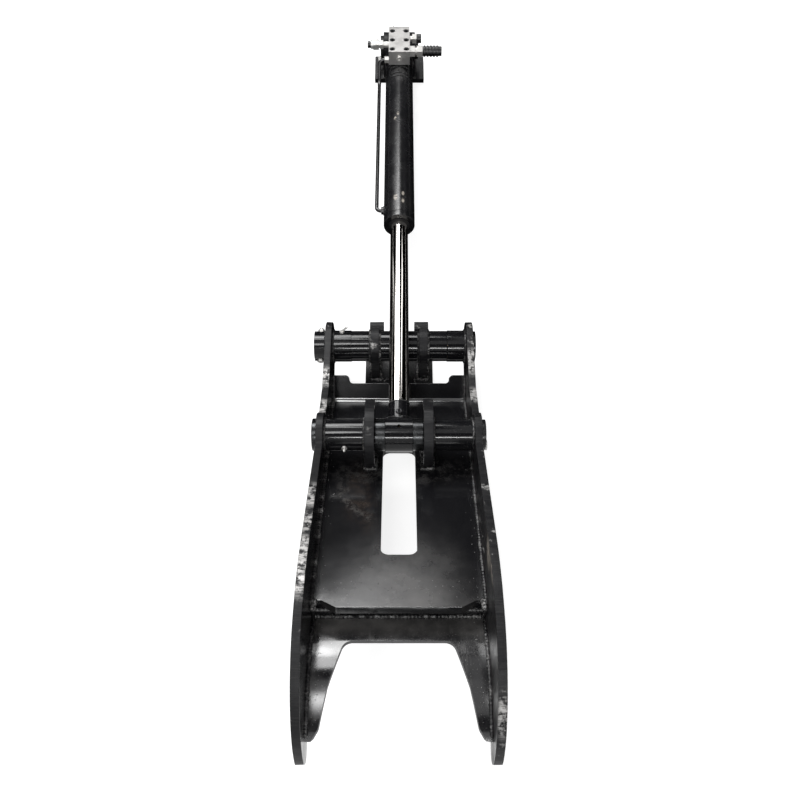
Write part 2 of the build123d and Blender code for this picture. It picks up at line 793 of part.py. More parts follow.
def barrel():
    """Barrel tube, with its two oil ports and the boss where the transfer tube comes in."""
    outside = barrel_diameter / 2
    tube = ring_y(outside, bore_radius, barrel_front, barrel_back)
    tube -= along_z(port_diameter / 2, 0, barrel_diameter, 0, base_port)
    tube -= along_x(line_port_radius, -barrel_diameter, 0, rod_port, 0)
    save("barrel", tube, cylinder_frame)
    boss = along_x(rod_port_boss_radius, -port_boss_end, 0, rod_port, 0)
    boss -= along_y(outside, barrel_front, barrel_back)
    boss -= along_x(line_port_radius, -barrel_diameter, 0, rod_port, 0)
    boss -= along_x(line_diameter / 2 + fit_gap, -barrel_diameter, -line_end, rod_port, 0)
    save("rod_port_boss", boss, cylinder_frame)


def base_end():
    """Base end of the cylinder with its eye, and the bush in it."""
    half_eye = base_eye_width / 2
    end = along_y(base_end_radius, barrel_back, barrel_back + base_end_length)
    end += block(-half_eye, half_eye, barrel_back, extended_length, -base_neck_half, base_neck_half)
    end += along_x(base_eye_radius, -half_eye, half_eye, extended_length)
    end -= along_x(base_bush_radius + fit_gap, -half_eye, half_eye, extended_length)
    save("base_end", end, cylinder_frame)
    bush = ring_x(base_bush_radius, base_pin_radius + fit_gap, -half_eye, half_eye, extended_length)
    save("base_eye_bush", bush, cylinder_frame)


def gland():
    """Gland that closes the barrel round the rod, with its wiper and seal."""
    inside = rod_radius + fit_gap
    seal_low = barrel_front + gland_spigot_length / 2 - seal_width / 2
    seal_high = seal_low + seal_width
    wiper_high = gland_face + seal_width
    groove = rod_radius + seal_depth + fit_gap
    body = ring_y(barrel_diameter / 2, inside, gland_face, barrel_front)
    body += ring_y(bore_radius - fit_gap, inside, barrel_front, barrel_front + gland_spigot_length)
    body -= ring_y(groove, rod_radius, gland_face, wiper_high)
    body -= ring_y(groove, rod_radius, seal_low, seal_high)
    save("gland", body, cylinder_frame)
    ring_outside = rod_radius + seal_depth
    save("rod_wiper", ring_y(ring_outside, inside, gland_face - wiper_lip, wiper_high), cylinder_frame)
    save("rod_seal", ring_y(ring_outside, inside, seal_low, seal_high), cylinder_frame)


def valve_block():
    """Valve block on a pad on the barrel, with its screws, plug and bleed fitting."""
    half = block_width / 2
    back = block_front + block_length
    top = block_lift + block_height
    pad_front = barrel_back - pad_length
    pad = block(-pad_width / 2, pad_width / 2, pad_front, barrel_back, 0, block_lift)
    pad -= along_y(barrel_diameter / 2, pad_front, barrel_back)
    port = along_z(port_diameter / 2, 0, block_lift + block_height / 2, 0, base_port)
    save("valve_pad", pad - port, cylinder_frame)
    body = block(-half, half, block_front, back, block_lift, top) - port
    line_x = -half + line_entry
    body -= along_x(line_diameter / 2 + fit_gap, -half, line_x, line_station, line_height)
    seat = top - screw_recess_depth
    head_top = seat + screw_head_height
    screws = []
    for row in range(screw_rows):
        for side in (-1, 1):
            x = side * screw_spacing_across / 2
            y = block_front + screw_end_distance + row * screw_spacing_along
            body -= along_z(screw_diameter / 2 + fit_gap, top - screw_depth, top, x, y)
            body -= along_z(screw_recess_radius, seat, top, x, y)
            screw = along_z(screw_diameter / 2, top - screw_depth, seat, x, y)
            screw += along_z(screw_head_diameter / 2, seat, head_top, x, y)
            screw -= hexagon_z(screw_socket, head_top - screw_socket_depth, head_top, x, y)
            screws.append(screw)
    save("valve_block", body, cylinder_frame)
    save("valve_screws", Compound(screws), cylinder_frame)
    height = block_lift + fitting_height
    plug_end = block_front - plug_length
    plug = hexagon_y(plug_width, plug_end, block_front, 0, height)
    plug -= hexagon_y(plug_socket, plug_end, plug_end + plug_socket_depth, 0, height)
    save("valve_plug", plug, cylinder_frame)
    bleed = hexagon_y(bleed_width, back, back + bleed_hexagon_length, -bleed_offset, top - bleed_drop)
    bleed += along_y(bleed_radius, back, back + bleed_length, -bleed_offset, top - bleed_drop)
    save("bleed_fitting", bleed, cylinder_frame)


def stepped_bar(steps, start, y, z):
    """A bar along X in steps, each a shape, its size and its length, and the station of its end."""
    low = start
    bar = None
    for shape, size, length in steps:
        part = shape(size, low, low + length, y, z)
        bar = part if bar is None else bar + part
        low += length
    return bar, low


def block_fittings():
    """Hydraulic fittings on the two sides of the block, closed with caps."""
    side = block_width / 2
    height = block_lift + fitting_height
    left_y = block_front + left_port_station
    adapter, end = stepped_bar([
        (along_x, left_stem_radius, left_stem_length),
        (hexagon_x, left_hexagon_width, left_hexagon_length),
        (along_x, left_neck_radius, left_neck_length),
        (hexagon_x, left_nut_width, left_nut_length),
        (along_x, left_end_radius, left_end_length),
    ], side, left_y, height)
    save("left_adapter", mirrored(adapter), cylinder_frame)
    cap = along_x(left_cap_radius, end, end + left_cap_length, left_y, height)
    save("left_cap", mirrored(cap), cylinder_frame)

    right_y = block_front + right_port_station
    adapter, end = stepped_bar([
        (hexagon_x, right_hexagon_width, right_hexagon_length),
        (along_x, right_neck_radius, right_neck_length),
        (hexagon_x, right_nut_width, right_nut_length),
    ], side, right_y, height)
    save("right_adapter", adapter, cylinder_frame)
    rib_pitch = coupling_length / (coupling_ribs + 1)
    core_radius = coupling_radius - coupling_rib_height
    coupling = along_x(core_radius, end, end + coupling_length, right_y, height)
    for rib in range(coupling_ribs):
        rib_low = end + coupling_rib_start + rib * rib_pitch
        coupling += along_x(coupling_radius, rib_low, rib_low + coupling_rib_width, right_y, height)
    save("right_coupling", coupling, cylinder_frame)

    second_y = block_front + second_port_station
    second, end = stepped_bar([
        (along_x, second_stem_radius, second_stem_length),
        (hexagon_x, second_hexagon_width, second_hexagon_length),
    ], side, second_y, height)
    save("second_adapter", second, cylinder_frame)
    cap = along_x(second_cap_radius, end, end + second_cap_length, second_y, height)
    save("second_cap", cap, cylinder_frame)


def transfer_tube():
    """Steel tube that takes oil from the block along the barrel to the rod end, and its nut."""
    half = block_width / 2
    route = [
        (-half + line_entry, line_station, line_height),
        (-line_offset, line_station, line_height),
        (-line_offset, line_station - line_drop, 0),
        (-line_offset, rod_port, 0),
        (-line_end, rod_port, 0),
    ]
    path = FilletPolyline(*route, radius=[line_bend_radius, line_sweep_radius, line_port_bend])
    section = Circle(line_diameter / 2) - Circle(line_diameter / 2 - line_wall)
    save("transfer_tube", sweep((path ^ 0) * section, path), cylinder_frame)
    nut = hexagon_x(line_nut_width, -half - line_nut_length, -half, line_station, line_height)
    nut -= along_x(line_diameter / 2 + fit_gap, -2 * half, 0, line_station, line_height)
    save("transfer_tube_nut", nut, cylinder_frame)


def base_bracket():
    """Bracket at the cylinder's base: plate, two ears, pin, flag and bolt."""
    floor = -base_pin_height
    plate_top = floor + bracket_plate_thickness
    half_length = base_plate_length / 2
    save("base_plate", block(
        -base_plate_width / 2, base_plate_width / 2,
        -half_length, half_length, floor, plate_top,
    ), base_frame)
    ear_face = Circle(base_ear_radius) + polygon([
        (-base_ear_radius, 0),
        (-base_ear_foot_half, plate_top),
        (base_ear_foot_half, plate_top),
        (base_ear_radius, 0),
    ])
    ear_face -= Circle(base_pin_radius + fit_gap)
    low = base_eye_width / 2 + face_gap
    high = low + base_ear_thickness
    ear = plate(ear_face, low, high)
    bolt_hole = along_x(flag_bolt_diameter / 2 + fit_gap, low, high, 0, -flag_drop)
    save("base_ear_right", ear, base_frame)
    save("base_ear_left", mirrored(ear - bolt_hole), base_frame)
    pin = along_x(base_pin_radius, -high - flag_thickness, high)
    pin += along_x(base_pin_radius + pin_head_lip, high, high + pin_head_thickness)
    save("base_pin", pin, base_frame)
    save("base_pin_flag", mirrored(keeper_flag(base_pin_radius, high)), base_frame)
    save("base_pin_bolt", mirrored(flag_bolt(high, base_ear_thickness)), base_frame)


pivot_bracket()
thumb_plates()
thumb_rings()
pivot_pin()
rod_pin()
rod_end()
rod_and_piston()
barrel()
base_end()
gland()
valve_block()
block_fittings()
transfer_tube()
base_bracket()
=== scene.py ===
import json
from math import cos, inf, pi, radians, sin, sqrt

import bmesh
import bpy
from bpy.props import FloatProperty, FloatVectorProperty, IntProperty, PointerProperty
from mathutils import Matrix, Vector, noise


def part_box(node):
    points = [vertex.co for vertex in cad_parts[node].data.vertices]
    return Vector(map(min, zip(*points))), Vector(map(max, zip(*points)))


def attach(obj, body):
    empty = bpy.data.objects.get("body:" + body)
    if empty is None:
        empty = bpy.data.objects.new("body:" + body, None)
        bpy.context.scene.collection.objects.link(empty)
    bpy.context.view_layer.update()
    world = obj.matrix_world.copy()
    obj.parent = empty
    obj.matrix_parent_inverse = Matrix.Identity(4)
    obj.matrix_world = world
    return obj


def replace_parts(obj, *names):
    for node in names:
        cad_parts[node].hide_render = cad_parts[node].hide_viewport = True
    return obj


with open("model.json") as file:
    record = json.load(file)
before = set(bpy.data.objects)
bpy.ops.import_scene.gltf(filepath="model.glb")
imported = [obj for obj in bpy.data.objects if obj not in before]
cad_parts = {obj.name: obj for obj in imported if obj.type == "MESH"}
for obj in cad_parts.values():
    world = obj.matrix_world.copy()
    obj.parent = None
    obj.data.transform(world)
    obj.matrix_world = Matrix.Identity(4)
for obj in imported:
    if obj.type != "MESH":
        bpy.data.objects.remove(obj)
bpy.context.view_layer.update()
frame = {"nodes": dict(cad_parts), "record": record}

bl_info = {
    "name": "Excavator thumb",
    "version": (1, 0, 0),
    "blender": (4, 5, 0),
    "location": "3D View > Sidebar > Thumb",
    "description": "Dresses the packed thumb with cut plates, welds, machined parts, paint and a studio",
    "category": "Object",
}

# Places in the frame, in metres
MM = 0.001
joints = {joint["name"]: joint for joint in frame["record"]["behaviour"]["joints"]}
slots = {part["node"]: part["material_slot"] for part in frame["record"]["subparts"]}
bodies = {
    node: body for body, nodes in frame["record"]["behaviour"]["bodies"].items() for node in nodes}
pivot = Vector(joints["thumb_swing"]["pos_m"])
rod_eye = Vector(joints["rod_eye_turn"]["pos_m"])
base_pin = Vector(joints["base_pin_turn"]["pos_m"])
across = Vector((1, 0, 0))
along = Vector(joints["cylinder_stroke"]["axis"]).normalized()
above = across.cross(along).normalized()

# Sizes of the thumb and the cylinder, in millimetres. The thumb is drawn in u, from the pivot towards
# the tips, and v, away from the stick. The cylinder is drawn in s, from the rod-eye pin along it, and
# h above it.
eye_u = -(rod_eye - pivot).dot(along) / MM
eye_v = (rod_eye - pivot).dot(above) / MM
wall_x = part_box("side_plate_right")[0].x / MM
seam_x = wall_x - 2
web_slope = radians(20.7)
web_bend = (153, -76)
web_end_u = 892
web_thickness = 25
lip_rise = radians(32)
lip_length = 76
toe_axis = (1057, -105)
toe_radius = 284
toe_thickness = 20
lug_inner_x, lug_outer_x = 64, 95
lug_low_u, lug_high_u = 286, 448
barrel_radius = 51

# Where the cosine between a face and its plate is less than this, the face belongs to the cut edge
edge_lean = 0.6


def thumb_point(x, u, v):
    """A point on the thumb, from millimetres."""
    return pivot + (across * x - along * u + above * v) * MM


def cylinder_point(x, s, h):
    """A point on the cylinder, from millimetres."""
    return rod_eye + (across * x + along * s + above * h) * MM


def web_back(u):
    """Height of the web plate's back at u."""
    return web_bend[1] + (u - web_bend[0]) * sin(web_slope) / cos(web_slope)


def toe_point(x, radius, angle):
    """A point about the toe plate's axis, the angle in degrees from its crown towards the tips."""
    turn = radians(angle)
    return thumb_point(x, toe_axis[0] + radius * sin(turn), toe_axis[1] + radius * cos(turn))


# Sizes and colours that a user would change

as_length = {"unit": "LENGTH", "precision": 4}
as_colour = {"size": 3, "min": 0, "max": 1, "subtype": "COLOR"}
as_power = {"min": 0, "max": 2000, "unit": "POWER"}


class ThumbSizes(bpy.types.PropertyGroup):
    """Sizes of the edges, the welds and the cut marks"""

    plate_edge: FloatProperty(
        name="Plate edge", description="Width of the dressed edge of a cut plate",
        default=1.6 * MM, min=0.1 * MM, max=5 * MM, **as_length)
    cut_depth: FloatProperty(
        name="Cut depth", description="Depth of the torch marks along a cut plate's outline",
        default=1.7 * MM, min=0, max=4 * MM, **as_length)
    bead_radius: FloatProperty(
        name="Weld bead", description="Radius of a fillet weld's bead",
        default=4.6 * MM, min=1 * MM, max=12 * MM, **as_length)
    bead_ripple: FloatProperty(
        name="Weld ripple", description="Share of its radius by which a bead swells and shrinks",
        default=0.16, min=0, max=0.5, subtype="FACTOR")
    bead_step: FloatProperty(
        name="Weld step", description="Distance between two stations of a bead",
        default=3.0 * MM, min=1 * MM, max=10 * MM, **as_length)
    spatter_count: IntProperty(
        name="Spatter", description="Drops of weld spatter on the web and toe plates",
        default=170, min=0, max=600)


class ThumbColours(bpy.types.PropertyGroup):
    """Colours of the paint and the metals"""

    paint: FloatVectorProperty(
        name="Paint", description="Black paint of the plates and the barrel",
        default=(0.006, 0.006, 0.007), **as_colour)
    dust: FloatVectorProperty(
        name="Dust", description="Pale dust and overspray on the paint",
        default=(0.075, 0.072, 0.07), **as_colour)
    bare: FloatVectorProperty(
        name="Bare steel", description="Steel that shows where a cut edge lost its paint",
        default=(0.5, 0.49, 0.48), **as_colour)
    smear: FloatVectorProperty(
        name="Oil smear", description="Brown smear beside the slot",
        default=(0.075, 0.055, 0.042), **as_colour)
    chrome: FloatVectorProperty(
        name="Chrome", description="Hard chrome of the rod",
        default=(0.78, 0.75, 0.71), **as_colour)
    zinc: FloatVectorProperty(
        name="Zinc", description="Plated bolts and fittings",
        default=(0.62, 0.61, 0.59), **as_colour)
    machined: FloatVectorProperty(
        name="Machined block", description="Milled metal of the valve block",
        default=(0.5, 0.49, 0.48), **as_colour)
    pin: FloatVectorProperty(
        name="Pins", description="Oiled steel of the pins and spacers",
        default=(0.026, 0.027, 0.028), **as_colour)


class StudioSettings(bpy.types.PropertyGroup):
    """Lamps, world and camera"""

    world_light: FloatProperty(
        name="World", description="Strength of the soft light from all round",
        default=0.12, min=0, max=2)
    back_light: FloatProperty(
        name="Back lamp", description="Power of the wide lamp behind the cylinder",
        default=233, **as_power)
    side_light: FloatProperty(
        name="Side lamp", description="Power of the narrow lamp behind on the right",
        default=6, **as_power)
    top_light: FloatProperty(
        name="Top lamp", description="Power of the lamp over the toe plate, on the left",
        default=30, **as_power)
    toe_light: FloatProperty(
        name="Toe lamp", description="Power of the lamp that shines in the toe plate's left leg",
        default=26, **as_power)
    front_light: FloatProperty(
        name="Front lamp", description="Power of the lamp in front of the tips",
        default=42, **as_power)
    camera_place: FloatVectorProperty(
        name="Camera", description="Where the camera stands",
        default=(0.0027, -1.304, 2.256), size=3, subtype="TRANSLATION", unit="LENGTH")
    camera_tilt: FloatProperty(
        name="Camera tilt", description="Turn of the camera up from straight down",
        default=radians(27.61), min=0, max=pi, subtype="ANGLE", unit="ROTATION")


# Finishes


class Nodes:
    """A node tree, built node by node"""

    def __init__(self, tree):
        self.tree = tree

    def feed(self, node, inputs):
        """Links other nodes' sockets to the inputs, or sets numbers, vectors and opaque colours."""
        for key, value in inputs.items():
            socket = node.inputs[key]
            if isinstance(value, bpy.types.NodeSocket):
                self.tree.links.new(value, socket)
            elif hasattr(value, "__len__"):
                opaque = len(value) == 3 and len(socket.default_value) == 4
                socket.default_value = tuple(value) + ((1.0,) if opaque else ())
            else:
                socket.default_value = value
        return node

    def node(self, kind, inputs, **settings):
        """A node with its settings and inputs."""
        node = self.tree.nodes.new(kind)
        for key, value in settings.items():
            setattr(node, key, value)
        return self.feed(node, inputs)

    def maths(self, operation, first, second):
        """One sum on two values."""
        return self.node("ShaderNodeMath", {0: first, 1: second}, operation=operation).outputs["Value"]

    def times(self, product, *factors):
        """Values multiplied one after another."""
        for factor in factors:
            product = self.maths("MULTIPLY", product, factor)
        return product


class Finish(Nodes):
    """A material on object coordinates"""

    def __init__(self, name, colour):
        self.material = bpy.data.materials.new(name)
        self.material.use_nodes = True
        super().__init__(self.material.node_tree)
        self.shader = self.tree.nodes["Principled BSDF"]
        self.colour = colour
        self.coords = self.node("ShaderNodeTexCoord", {}).outputs["Object"]

    def mapped(self, scale, centre=(0, 0, 0)):
        """Object coordinates moved to a centre and stretched."""
        place = [-c * s for c, s in zip(centre, scale)]
        inputs = {"Vector": self.coords, "Scale": scale, "Location": place}
        return self.node("ShaderNodeMapping", inputs).outputs["Vector"]

    def noise(self, scale, detail=3.0, roughness=0.55, stretch=None):
        """Cloudy noise from 0 to 1."""
        coords = self.mapped(stretch) if stretch else self.coords
        inputs = {"Vector": coords, "Scale": scale, "Detail": detail, "Roughness": roughness}
        return self.node("ShaderNodeTexNoise", inputs).outputs["Fac"]

    def ramp(self, value, low, high, start=0.0, end=1.0):
        """A smooth step from start to end."""
        inputs = {"Value": value, "From Min": low, "From Max": high, "To Min": start, "To Max": end}
        return self.node("ShaderNodeMapRange", inputs, interpolation_type="SMOOTHSTEP").outputs["Result"]

    def flecks(self, scale, detail, roughness, *steps, stretch=None):
        """Noise cut to flecks by a smooth step."""
        return self.ramp(self.noise(scale, detail, roughness, stretch), *steps)

    def lay(self, colour, *masks):
        """Lays a colour over what is there, where all the masks let it."""
        mix = self.node("ShaderNodeMix", {"Factor": self.times(*masks)}, data_type="RGBA")
        under, over = [index for index, socket in enumerate(mix.inputs) if socket.type == "RGBA"]
        self.feed(mix, {under: self.colour, over: colour})
        self.colour = [socket for socket in mix.outputs if socket.type == "RGBA"][0]

    def distance(self, centre, radii):
        """How far a point is from a centre in metres, as a share of the radii."""
        offset = self.mapped([1 / radius for radius in radii], centre)
        return self.node("ShaderNodeVectorMath", {0: offset}, operation="LENGTH").outputs["Value"]

    def spot(self, centre, radii, edge):
        """A round mask about a centre, its soft edge a share of the radii."""
        return self.ramp(self.distance(centre, radii), 1 - edge, 1 + edge, 1.0, 0.0)

    def ring(self, centre, radii, width):
        """A thin soft ring about a centre, its width a share of the radii."""
        off = self.maths("ABSOLUTE", self.maths("SUBTRACT", self.distance(centre, radii), 1.0), 0.0)
        return self.ramp(off, 0.0, width, 1.0, 0.0)

    def depth(self):
        """The object coordinate Y."""
        return self.node("ShaderNodeSeparateXYZ", {"Vector": self.coords}).outputs["Y"]

    def bump(self, *heights):
        """Bumps, each of a height, its strength and its distance in metres."""
        normal = {}
        for height, strength, distance in heights:
            inputs = {"Height": height, "Strength": strength, "Distance": distance, **normal}
            normal = {"Normal": self.node("ShaderNodeBump", inputs).outputs["Normal"]}
        self.feed(self.shader, normal)

    def shine(self, roughness, specular=0.5, metallic=0.0):
        """Gives the shader its colour and gloss."""
        self.feed(self.shader, {
            "Base Color": self.colour, "Roughness": roughness,
            "Specular IOR Level": specular, "Metallic": metallic,
        })


# Linear colours of marks in the paint, and of the painted sheen on the web
speck_grey = (0.4, 0.39, 0.38)
rub_grey = (0.34, 0.31, 0.27)
# Painted sheen: grey laid on the web near its end in place of the lamp's reflection
painted_sheen_grey = (0.12, 0.115, 0.11)
stroke_grey = (0.1, 0.095, 0.09)
film_grey = (0.06, 0.058, 0.057)
streak_grey = (0.14, 0.138, 0.135)
head_grey = (0.13, 0.125, 0.12)
crest_grey = (0.55, 0.54, 0.53)

# Directions of turning and milling marks, as stretches of their noise
around_x = (1500, 6, 6)
along_rod = (5, 900, 5)
milled = (40, 700, 700)
even = (260, 260, 260)

# Places where the paint is rubbed or gone: centre and radii, in metres
barrel_rubs = [
    ((-0.012, 0.508, 0.236), (0.006, 0.014, 0.02)),
    ((0.0125, 0.49, 0.237), (0.004, 0.009, 0.02)),
    ((0.0125, 0.523, 0.234), (0.004, 0.008, 0.02)),
    ((-0.0045, 0.924, 0.203), (0.004, 0.008, 0.02)),
    ((-0.014, 0.897, 0.203), (0.004, 0.01, 0.02)),
]
wall_rubs = [
    ((wall_x * MM, -0.765, 0.47), (0.02, 0.035, 0.026)),
    ((wall_x * MM, -0.81, 0.53), (0.02, 0.035, 0.028)),
    ((wall_x * MM, -0.86, 0.585), (0.02, 0.035, 0.026)),
]
bare_edges = [
    ((-0.21, -0.68, 0.47), (0.03, 0.035, 0.04)),
    ((-0.215, -0.76, 0.5), (0.03, 0.04, 0.04)),
    ((-0.215, -0.83, 0.525), (0.03, 0.05, 0.05)),
    ((-0.215, -0.15, 0.2), (0.03, 0.03, 0.03)),
    ((-0.215, -0.27, 0.24), (0.03, 0.03, 0.03)),
    ((-0.215, -0.6, 0.41), (0.03, 0.04, 0.04)),
    ((0.218, -1.12, 0.49), (0.014, 0.05, 0.05)),
    ((0.215, -0.1, 0.2), (0.03, 0.04, 0.04)),
    ((0.215, -0.22, 0.22), (0.03, 0.03, 0.03)),
]


def paint_finish(name, colours, dust, gloss, grain, specks=0.2, sheen=0.25, rubs=(), swell=0.35):
    """Black paint with dust, specks, an uneven gloss and pale rubbed places."""
    finish = Finish(name, colours.paint)
    finish.lay(colours.dust, finish.flecks(9, 5, 0.6, 0.42, 0.78), dust)
    finish.lay(speck_grey, finish.flecks(420, 2, 0.4, 0.66, 0.73), specks)
    for centre, radii in rubs:
        strokes = finish.flecks(1, 3, 0.6, 0.38, 0.52, stretch=(20, 70, 160))
        finish.lay(rub_grey, finish.spot(centre, radii, 0.5), strokes)
    finish.shine(finish.flecks(22, 4, 0.6, 0.3, 0.72, *gloss), sheen)
    finish.bump((finish.noise(14, 2), swell, 0.0012), (finish.noise(330, 3, 0.6), grain, 0.0005))
    return finish


def cut_finish(name, colours, worn, places=(), dust=0.22):
    """A torch-cut edge: marks across the plate, thin paint and bare bright places."""
    finish = Finish(name, colours.paint)
    marks = finish.noise(1, 3, 0.6, stretch=(25, 420, 420))
    patches = finish.flecks(17, 5, 0.65, 0.6, 0.7)
    for centre, radii in places:
        ragged = finish.flecks(60, 4, 0.7, 0.4, 0.56)
        patches = finish.maths("MAXIMUM", patches, finish.times(finish.spot(centre, radii, 0.5), ragged))
    bare = finish.times(patches, finish.ramp(marks, 0.32, 0.55), worn)
    finish.lay(colours.dust, finish.ramp(marks, 0.45, 0.75), dust)
    finish.lay(colours.bare, bare)
    finish.shine(finish.ramp(marks, 0.25, 0.8, 0.34, 0.6), 0.18, finish.times(bare, 0.5))
    finish.bump((marks, 0.5, 0.0008), (finish.noise(160, 4, 0.7), 0.4, 0.0006))
    return finish


def metal_finish(name, colour, gloss, marks, grain, stain, metallic=1.0):
    """Bare or plated metal, with fine marks along one direction and a faint stain."""
    finish = Finish(name, colour)
    cloud = finish.noise(28, 4, 0.6)
    darker = [channel * 0.55 for channel in colour]
    finish.lay(darker, finish.ramp(cloud, 0.45, 0.75), stain)
    finish.shine(finish.ramp(cloud, 0.3, 0.7, *gloss), metallic=metallic)
    finish.bump((finish.noise(1, 2, 0.6, stretch=marks), grain, 0.0003))
    return finish


def web_finish(colours):
    """Paint of the web plate: a painted sheen of paler grey near its end, smears beside the slot,
    scuffs, dust and specks.
    """
    finish = Finish("web paint", colours.paint)
    depth = finish.depth()
    cloud = finish.noise(16, 6, 0.65)
    # Painted sheen: a paler grey laid in a strip and a patch near the web's end, standing for the lamp's
    # reflection; the roughness also rises there
    strip = finish.times(finish.ramp(depth, -0.8, -0.9), 0.6)
    glow = finish.maths("MAXIMUM", strip, finish.spot((0.02, -0.86, 0.38), (0.11, 0.15, 0.3), 0.9))
    finish.lay(painted_sheen_grey, glow, 0.42, finish.ramp(cloud, 0.3, 0.7, 0.25, 1.0))
    wide_smear = finish.spot((-0.11, -0.53, 0.23), (0.03, 0.09, 0.2), 0.9)
    small_smear = finish.spot((-0.08, -0.6, 0.27), (0.02, 0.05, 0.2), 0.9)
    smears = finish.maths("ADD", wide_smear, small_smear)
    finish.lay(colours.smear, smears, finish.flecks(26, 6, 0.75, 0.36, 0.7, 0, 0.3))
    stroke = finish.ring((-0.01, -0.475, 0.25), (0.155, 0.155, 9), 0.11)
    stroke_part = finish.spot((-0.115, -0.56, 0.25), (0.06, 0.09, 0.3), 0.4)
    finish.lay(stroke_grey, stroke, stroke_part, finish.flecks(55, 5, 0.75, 0.4, 0.66, 0, 0.5))
    finish.lay(colours.dust, finish.flecks(1, 3, 0.7, 0.62, 0.82, 0, 0.14, stretch=(90, 16, 60)))
    lug_feet = finish.spot((0, -0.45, 0.18), (0.19, 0.045, 0.2), 0.6)
    finish.lay(colours.dust, lug_feet, finish.flecks(38, 5, 0.75, 0.42, 0.62, 0, 0.45))
    specks = finish.flecks(240, 3, 0.6, 0.74, 0.8, 0, 0.5)
    finish.lay(speck_grey, specks, finish.flecks(30, 2, 0.5, 0.45, 0.65))
    rough = finish.maths("ADD", finish.ramp(depth, -0.45, -0.85, 0.13, 0.12), finish.times(glow, 0.15))
    finish.shine(finish.maths("ADD", rough, finish.ramp(cloud, 0.3, 0.72, 0.0, 0.03)))
    finish.bump((finish.noise(11, 2), 0.3, 0.0012), (finish.noise(300, 4, 0.65), 0.05, 0.0005))
    return finish


def toe_finish(colours):
    """Glossy paint of the rolled toe plate, with streaks down the roll and a paler grey at its head."""
    finish = Finish("toe paint", colours.paint)
    cloud = finish.noise(12, 5, 0.6)
    finish.lay(film_grey, finish.ramp(cloud, 0.35, 0.75, 0.0, 0.5))
    finish.lay(streak_grey, finish.flecks(1, 3, 0.6, 0.55, 0.8, 0, 0.35, stretch=(60, 9, 9)))
    finish.lay(speck_grey, finish.flecks(420, 2, 0.4, 0.68, 0.74, 0, 0.3))
    # A paler grey towards the toe's head, near the web's end
    head = finish.ramp(finish.depth(), -0.94, -0.9)
    finish.lay(head_grey, head, finish.ramp(cloud, 0.3, 0.7, 0.3, 0.8))
    finish.shine(finish.ramp(cloud, 0.3, 0.72, 0.11, 0.2), 0.65)
    finish.bump((finish.noise(9, 2), 0.3, 0.0016), (finish.noise(340, 3, 0.6), 0.08, 0.0004))
    return finish


def weld_finish(name, colours, bright):
    """A painted weld bead whose crests show some metal."""
    finish = Finish(name, colours.paint)
    crests = finish.noise(210, 4, 0.7)
    patches = finish.flecks(26, 4, 0.6, 0.42, 0.68)
    finish.lay(colours.dust, finish.ramp(crests, 0.45, 0.75, 0, 0.6))
    finish.lay(crest_grey, patches, finish.ramp(crests, 0.42, 0.66), bright)
    finish.shine(finish.ramp(crests, 0.3, 0.7, 0.24, 0.46), 0.35)
    finish.bump((crests, 0.5, 0.0008))
    return finish


finishes = {}


def make_finishes(colours):
    """All finishes, kept by the short name that the pieces ask for."""

    def paint(name, *settings, **more):
        return paint_finish(name, colours, *settings, **more)

    chrome, pin, zinc, machined = [
        tuple(colour) for colour in (colours.chrome, colours.pin, colours.zinc, colours.machined)]
    made = {
        "paint": paint("black paint", 0.18, (0.2, 0.38), 0.12),
        "barrel": paint("barrel paint", 0.08, (0.2, 0.3), 0.02, 0.06, 0.5, barrel_rubs, 0.12),
        "bracket": paint("bracket paint", 0.2, (0.34, 0.56), 0.25, 0.35),
        "ring": paint("ring paint", 0.04, (0.07, 0.14), 0.04, 0.15, swell=0.15),
        # The right wall takes more dust than the left one (dark wall): partly dust, partly painted light
        # that makes the right wall paler because of how light falls on it
        "wall": paint("wall paint", 0.3, (0.26, 0.46), 0.14, rubs=wall_rubs),
        "dark wall": paint("dark wall paint", 0.08, (0.14, 0.26), 0.08, 0.15),
        "bend": paint("bend paint", 0.04, (0.1, 0.17), 0.03, 0.1, 1.0, swell=0.1),
        "rubber": paint("seal rubber", 0.1, (0.5, 0.7), 0.3, 0.0),
        "cap": paint("cap plastic", 0.15, (0.28, 0.42), 0.2, 0.05, 0.5),
        "web": web_finish(colours),
        "toe": toe_finish(colours),
        "cut": cut_finish("cut edge", colours, 0.9, bare_edges),
        "dark cut": cut_finish("dark cut edge", colours, 0.3, dust=0.06),
        "weld": weld_finish("weld", colours, 0.35),
        # Bright weld: crests that show more metal, and on the left web seam a painted highlight
        "bright weld": weld_finish("bright weld", colours, 0.9),
        "chrome": metal_finish("hard chrome", chrome, (0.05, 0.09), along_rod, 0.004, 0.1),
        "pin": metal_finish("oiled steel", pin, (0.16, 0.3), around_x, 0.12, 0.4, 0.85),
        "zinc": metal_finish("zinc plate", zinc, (0.25, 0.42), even, 0.12, 0.35, 0.6),
        "block": metal_finish("milled block", machined, (0.3, 0.44), milled, 0.12, 0.3, 0.8),
        "bronze": metal_finish("bush bronze", (0.45, 0.31, 0.15), (0.3, 0.45), around_x, 0.1, 0.4),
        "screw": metal_finish("screw steel", (0.03, 0.03, 0.032), (0.3, 0.45), even, 0.1, 0.4, 0.6),
    }
    finishes.update({name: finish.material for name, finish in made.items()})


# Mesh helpers


def cad_copy(node):
    """A merged copy of a CAD node's mesh, with its flat faces whole again."""
    mesh = bmesh.new()
    mesh.from_mesh(frame["nodes"][node].data)
    bmesh.ops.remove_doubles(mesh, verts=mesh.verts, dist=2e-6)
    bmesh.ops.dissolve_limit(mesh, angle_limit=radians(0.6), verts=mesh.verts, edges=mesh.edges)
    return mesh


